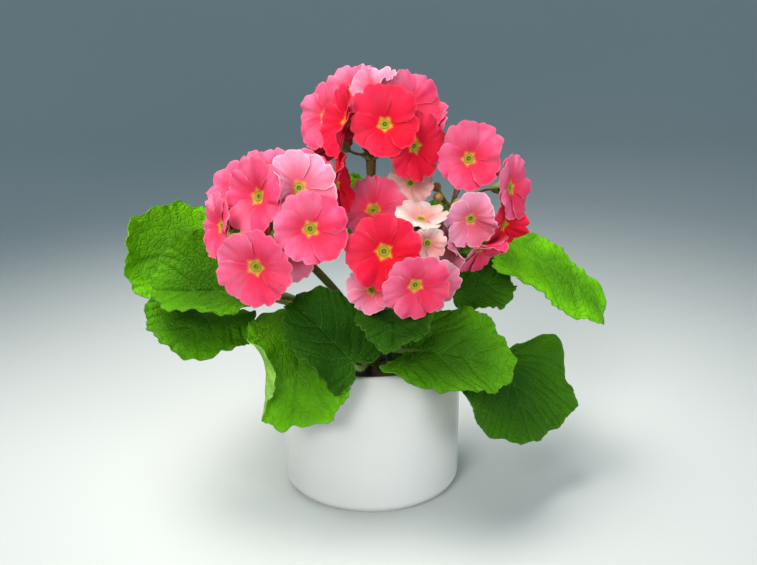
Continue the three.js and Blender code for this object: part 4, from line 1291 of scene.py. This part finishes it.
def add_flower_stalk(bm, rng, hub, bloom):
    """One flower stalk from the hub to its green cup."""
    azimuth, climb, _ = bloom.seat
    axis = direction(*bloom.face)
    mouth = eye_of(hub, bloom.seat) - axis * (TUBE_SHOWN + CLEARANCE)
    base = mouth - axis * CALYX_LENGTH
    span = (base - hub).length
    leaving = hub + direction(azimuth, climb) * (span * PEDICEL_LEAVING)
    path = (hub, leaving, base - axis * (span * PEDICEL_ARRIVING), base)
    stations = []
    for i in range(PEDICEL_STEPS + 1):
        share = i / PEDICEL_STEPS
        stations.append((bezier(path, share), blend(PEDICEL_RADIUS, PEDICEL_RADIUS * PEDICEL_TAPER, share)))
    stations.append((base + axis * 0.8, PEDICEL_RADIUS))
    frames = ring_frames(stations)
    rod(bm, frames, PEDICEL_SIDES, SKIN)
    hairs(bm, rng, frames[1:], HAIR, 0.7, 1.15)
    add_cup(bm, rng, base, axis, min(1, bloom.radius / CALYX_BROAD_FLOWER))


def add_bud(bm, rng, hub, seat, size):
    """A closed bud, pear-shaped, on its stalk, with the points of its green cup round its foot."""
    azimuth, climb, reach = seat
    axis = direction(azimuth, climb)
    pear = (
        (reach - 2.2 * size, PEDICEL_RADIUS), (reach - 2 * size, PEDICEL_RADIUS * 1.3),
        (reach - 1.7 * size, 0.62 * size), (reach - 1.35 * size, 0.85 * size), (reach - 0.9 * size, size),
        (reach - 0.5 * size, 0.98 * size), (reach - 0.2 * size, 0.72 * size), (reach, 0.34 * size),
        (reach + 0.06 * size, 0.12 * size),
    )
    cup = (
        (reach - 2.3 * size, 1.2), (reach - 1.9 * size, 0.5 * size), (reach - 1.3 * size, 0.93 * size),
        (reach - 1.0 * size, 1.05 * size), (reach - 1.02 * size, 0.98 * size),
        (reach - 1.5 * size, 0.5 * size),
    )

    def placed(profile):
        return [(hub + axis * out, radius) for out, radius in profile]

    stalk = [(i / BUD_STEPS * (reach - 2 * size), PEDICEL_RADIUS * 0.9) for i in range(BUD_STEPS + 1)]
    rod(bm, ring_frames(placed(stalk)), PEDICEL_SIDES, SKIN)
    rod(bm, ring_frames(placed(pear)), BUD_SIDES, OPENING if size > OPENING_SIZE else CLOSED)
    turned = ring_frames(placed(cup[:4]))[1].to_quaternion().to_matrix().to_4x4()
    frames = turned_frames(cup, hub, axis, turned)
    rod(bm, frames, TUBE_SIDES, CUP)
    hairs(bm, rng, frames[1:4], HAIR, 0.5, 1.3)


def add_bracts(bm, rng, hub, arrival):
    """Narrow green bracts that stand round the hub of a flower head."""
    turned = turn_from_up(arrival).to_matrix().to_4x4()
    for i in range(BRACTS):
        leaf = bmesh.new()
        bmesh.ops.create_grid(leaf, x_segments=4, y_segments=7, size=1)
        length = rng.uniform(*BRACT_LENGTHS)
        for vert in leaf.verts:
            share = (vert.co.y + 1) / 2
            half = BRACT_HALF_WIDTH * math.sin(math.pi * min(0.12 + share * 0.88, 1)) ** 0.7 + 0.04
            out = BRACT_START + length * share * BRACT_SPREAD
            lift = length * share * BRACT_RISE - BRACT_DROOP * length * share**2 + BRACT_KEEL * vert.co.x**2
            vert.co = (out, vert.co.x * half, lift - BRACT_DROP)
        thickened(leaf, BRACT_THICKNESS)
        for face in leaf.faces:
            face.material_index = CUP
        around = math.radians(360 / BRACTS * i + rng.uniform(-BRACT_TURN, BRACT_TURN))
        place = Matrix.Translation(hub) @ turned @ Matrix.Rotation(around, 4, "Z")
        bmesh.ops.transform(leaf, matrix=place, verts=leaf.verts)
        merge_into(bm, leaf)


def scape_path(umbel, hub, arrival):
    """A flower stem's stations, from its foot in the soil to its swollen head."""
    foot = Vector((*umbel["foot"], SOIL_EDGE - ROOT_DEPTH))
    collar = Vector((*umbel["foot"], SOIL_TOP + STRAIGHT_FOOT))
    span = (hub - collar).length
    path = (collar, collar + Vector((0, 0, span * SCAPE_RISE)), hub - arrival * (span * SCAPE_LEAD), hub)
    stations = [(foot, SCAPE_RADIUS)]
    for i in range(SCAPE_STEPS + 1):
        share = i / SCAPE_STEPS
        swell = blend(1, SCAPE_HEAD_SWELL, smooth(SCAPE_SWELL_START, 1, share))
        stations.append((bezier(path, share), SCAPE_RADIUS * swell))
    stations.append((hub + arrival * 0.9, SCAPE_RADIUS * 0.9))
    return stations


def build_stems():
    finishes = [
        stalk_finish("flower_stem"), cup_finish(), hair_finish(),
        bud_finish("closed_bud", *CLOSED_BUD_TONES), bud_finish("opening_bud", *OPENING_BUD_TONES),
    ]
    for number, (name, umbel) in enumerate(UMBELS.items()):
        rng = random.Random(STEM_SEED + number)
        hub, arrival = Vector(umbel["hub"]), direction(*umbel["arrival"])
        bm = bmesh.new()
        frames = ring_frames(scape_path(umbel, hub, arrival))
        rod(bm, frames, SCAPE_SIDES, SKIN)
        hairs(bm, rng, frames[2:-1], HAIR)
        for bloom in umbel["blooms"]:
            stalk = bmesh.new()
            add_flower_stalk(stalk, rng, hub, bloom)
            merge_into(bm, stalk)
        for seat, size in umbel["buds"]:
            add_bud(bm, rng, hub, seat, size)
        add_bracts(bm, rng, hub, arrival)
        dressed(f"flower_stem_{name}", bm, finishes, "stem", f"umbel_{name}")


# Stage, in metres and degrees

CAMERA_PLACE = (5 * MM, -593.75 * MM, 323.1 * MM)
CAMERA_TILT = 73.3
CAMERA_NEAR, CAMERA_FAR = 0.02, 30
SENSOR = 36
FOCAL_PIXELS = 900
IMAGE_WIDTH = 757
FLOOR_HALF_WIDTH = 5
FLOOR_FRONT, FLOOR_BACK = -2.5, 1.8
SWEEP_RADIUS = 1.6
BACKDROP_HEIGHT = 2.5
ROOM_COLOUR = (0.6, 0.85, 1, 1)

# Each soft light: its place, what it shines on, its width, its colour and its spread
Light = namedtuple("Light", "place target size colour spread")
LIGHTS = {
    "key": Light((-0.36, 0.03, 1.15), (-0.02, -0.01, 0.05), 0.95, (1, 0.97, 0.91), 58),
    "fill": Light((1.0, -0.9, 0.6), (0, 0, 0.22), 0.9, (0.9, 0.96, 1), 40),
    "front": Light((-0.45, -1.1, 0.95), (0, 0, 0.26), 0.8, (1, 0.98, 0.95), 34),
}


def soft_light(name, light, power):
    lamp = bpy.data.lights.new(name, "AREA")
    lamp.shape = "DISK"
    lamp.size = light.size
    lamp.energy = power
    lamp.color = light.colour
    lamp.spread = math.radians(light.spread)
    fitted = bpy.data.objects.new(name, lamp)
    fitted.location = light.place
    fitted.rotation_euler = (Vector(light.target) - fitted.location).to_track_quat("-Z", "Y").to_euler()
    bpy.context.scene.collection.objects.link(fitted)


def swept(share):
    """The floor's outline from its front edge back and up behind: distance back and height."""
    flat, arc = FLOOR_BACK - FLOOR_FRONT, SWEEP_RADIUS * math.pi / 2
    run = share * (flat + arc + BACKDROP_HEIGHT)
    if run < flat:
        return FLOOR_FRONT + run, 0
    turn = min((run - flat) / SWEEP_RADIUS, math.pi / 2)
    rise = max(run - flat - arc, 0)
    return FLOOR_BACK + SWEEP_RADIUS * math.sin(turn), SWEEP_RADIUS * (1 - math.cos(turn)) + rise


def lay_floor(scene, pale):
    """A pale floor that sweeps up into a backdrop."""
    bm = bmesh.new()
    bmesh.ops.create_grid(bm, x_segments=8, y_segments=72, size=1)
    for vert in bm.verts:
        vert.co = (vert.co.x * FLOOR_HALF_WIDTH, *swept((vert.co.y + 1) / 2))
    for face in bm.faces:
        face.smooth = True
    mesh = bpy.data.meshes.new("pale_floor")
    bm.to_mesh(mesh)
    bm.free()
    floor = bpy.data.objects.new("pale_floor", mesh)
    scene.collection.objects.link(floor)
    finish = Finish("pale_floor")
    cloud = finish.noise(finish.place(), 3, 2)
    mesh.materials.append(finish.done(finish.mixed(cloud, darker(pale, 0.98), pale), 0.6))


def set_camera(scene):
    camera = bpy.data.cameras.new("camera")
    camera.sensor_width = SENSOR
    camera.lens = SENSOR * FOCAL_PIXELS / IMAGE_WIDTH
    camera.clip_start, camera.clip_end = CAMERA_NEAR, CAMERA_FAR
    view = bpy.data.objects.new("camera", camera)
    view.location = CAMERA_PLACE
    view.rotation_euler = (math.radians(CAMERA_TILT), 0, 0)
    scene.collection.objects.link(view)
    scene.camera = view


def build_stage():
    stage = settings("stage")
    scene = bpy.context.scene
    lay_floor(scene, tuple(stage.floor))
    set_camera(scene)
    for name, light in LIGHTS.items():
        soft_light(f"{name}_light", light, getattr(stage, name))
    world = bpy.data.worlds.new("pale_room")
    world.use_nodes = True
    room = world.node_tree.nodes["Background"].inputs
    room["Color"].default_value = ROOM_COLOUR
    room["Strength"].default_value = stage.room
    scene.world = world
    scene.view_settings.view_transform = "Standard"


# Operators, panel and registration


class PRIMROSE_OT_pot(bpy.types.Operator):
    """Turn the pot from its outline and glaze it"""

    bl_idname = "primrose.pot"
    bl_label = "Glazed pot"

    def execute(self, context):
        build_pot()
        return {"FINISHED"}


class PRIMROSE_OT_soil(bpy.types.Operator):
    """Lay the crumbly soil with its loose crumbs"""

    bl_idname = "primrose.soil"
    bl_label = "Soil"

    def execute(self, context):
        build_soil()
        return {"FINISHED"}


class PRIMROSE_OT_leaves(bpy.types.Operator):
    """Grow the waved leaves with their veins, teeth and hairy stalks"""

    bl_idname = "primrose.leaves"
    bl_label = "Leaves"

    def execute(self, context):
        build_leaves()
        return {"FINISHED"}


class PRIMROSE_OT_stems(bpy.types.Operator):
    """Grow the flower stems, flower stalks, green cups and buds"""

    bl_idname = "primrose.stems"
    bl_label = "Flower stems"

    def execute(self, context):
        build_stems()
        return {"FINISHED"}


class PRIMROSE_OT_flowers(bpy.types.Operator):
    """Open the flowers with five notched petals each"""

    bl_idname = "primrose.flowers"
    bl_label = "Flowers"

    def execute(self, context):
        build_flowers()
        return {"FINISHED"}


class PRIMROSE_OT_stage(bpy.types.Operator):
    """Set the pale floor, the soft lights and the camera"""

    bl_idname = "primrose.stage"
    bl_label = "Stage"

    def execute(self, context):
        build_stage()
        return {"FINISHED"}


OPERATORS = (
    PRIMROSE_OT_pot, PRIMROSE_OT_soil, PRIMROSE_OT_leaves, PRIMROSE_OT_stems, PRIMROSE_OT_flowers,
    PRIMROSE_OT_stage,
)


class PRIMROSE_PT_builder(bpy.types.Panel):
    """Lists the primrose's operators and settings in the sidebar."""

    bl_label = "Potted Primrose"
    bl_idname = "PRIMROSE_PT_builder"
    bl_space_type = "VIEW_3D"
    bl_region_type = "UI"
    bl_category = "Primrose"

    def draw(self, context):
        for made in OPERATORS:
            self.layout.operator(made.bl_idname)
        for group, kind in GROUPS.items():
            box = self.layout.box()
            box.label(text=group.title())
            for name in kind.__annotations__:
                box.prop(getattr(context.scene, f"primrose_{group}"), name)


CLASSES = (*GROUPS.values(), *OPERATORS, PRIMROSE_PT_builder)


def register():
    for made in CLASSES:
        bpy.utils.register_class(made)
    for group, kind in GROUPS.items():
        setattr(bpy.types.Scene, f"primrose_{group}", PointerProperty(type=kind))


def unregister():
    for group in GROUPS:
        delattr(bpy.types.Scene, f"primrose_{group}")
    for made in reversed(CLASSES):
        bpy.utils.unregister_class(made)


def main():
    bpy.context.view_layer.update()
    register()
    bpy.ops.primrose.pot()
    bpy.ops.primrose.soil()
    bpy.ops.primrose.leaves()
    bpy.ops.primrose.stems()
    bpy.ops.primrose.flowers()
    bpy.ops.primrose.stage()


if __name__ == "__main__":
    main()
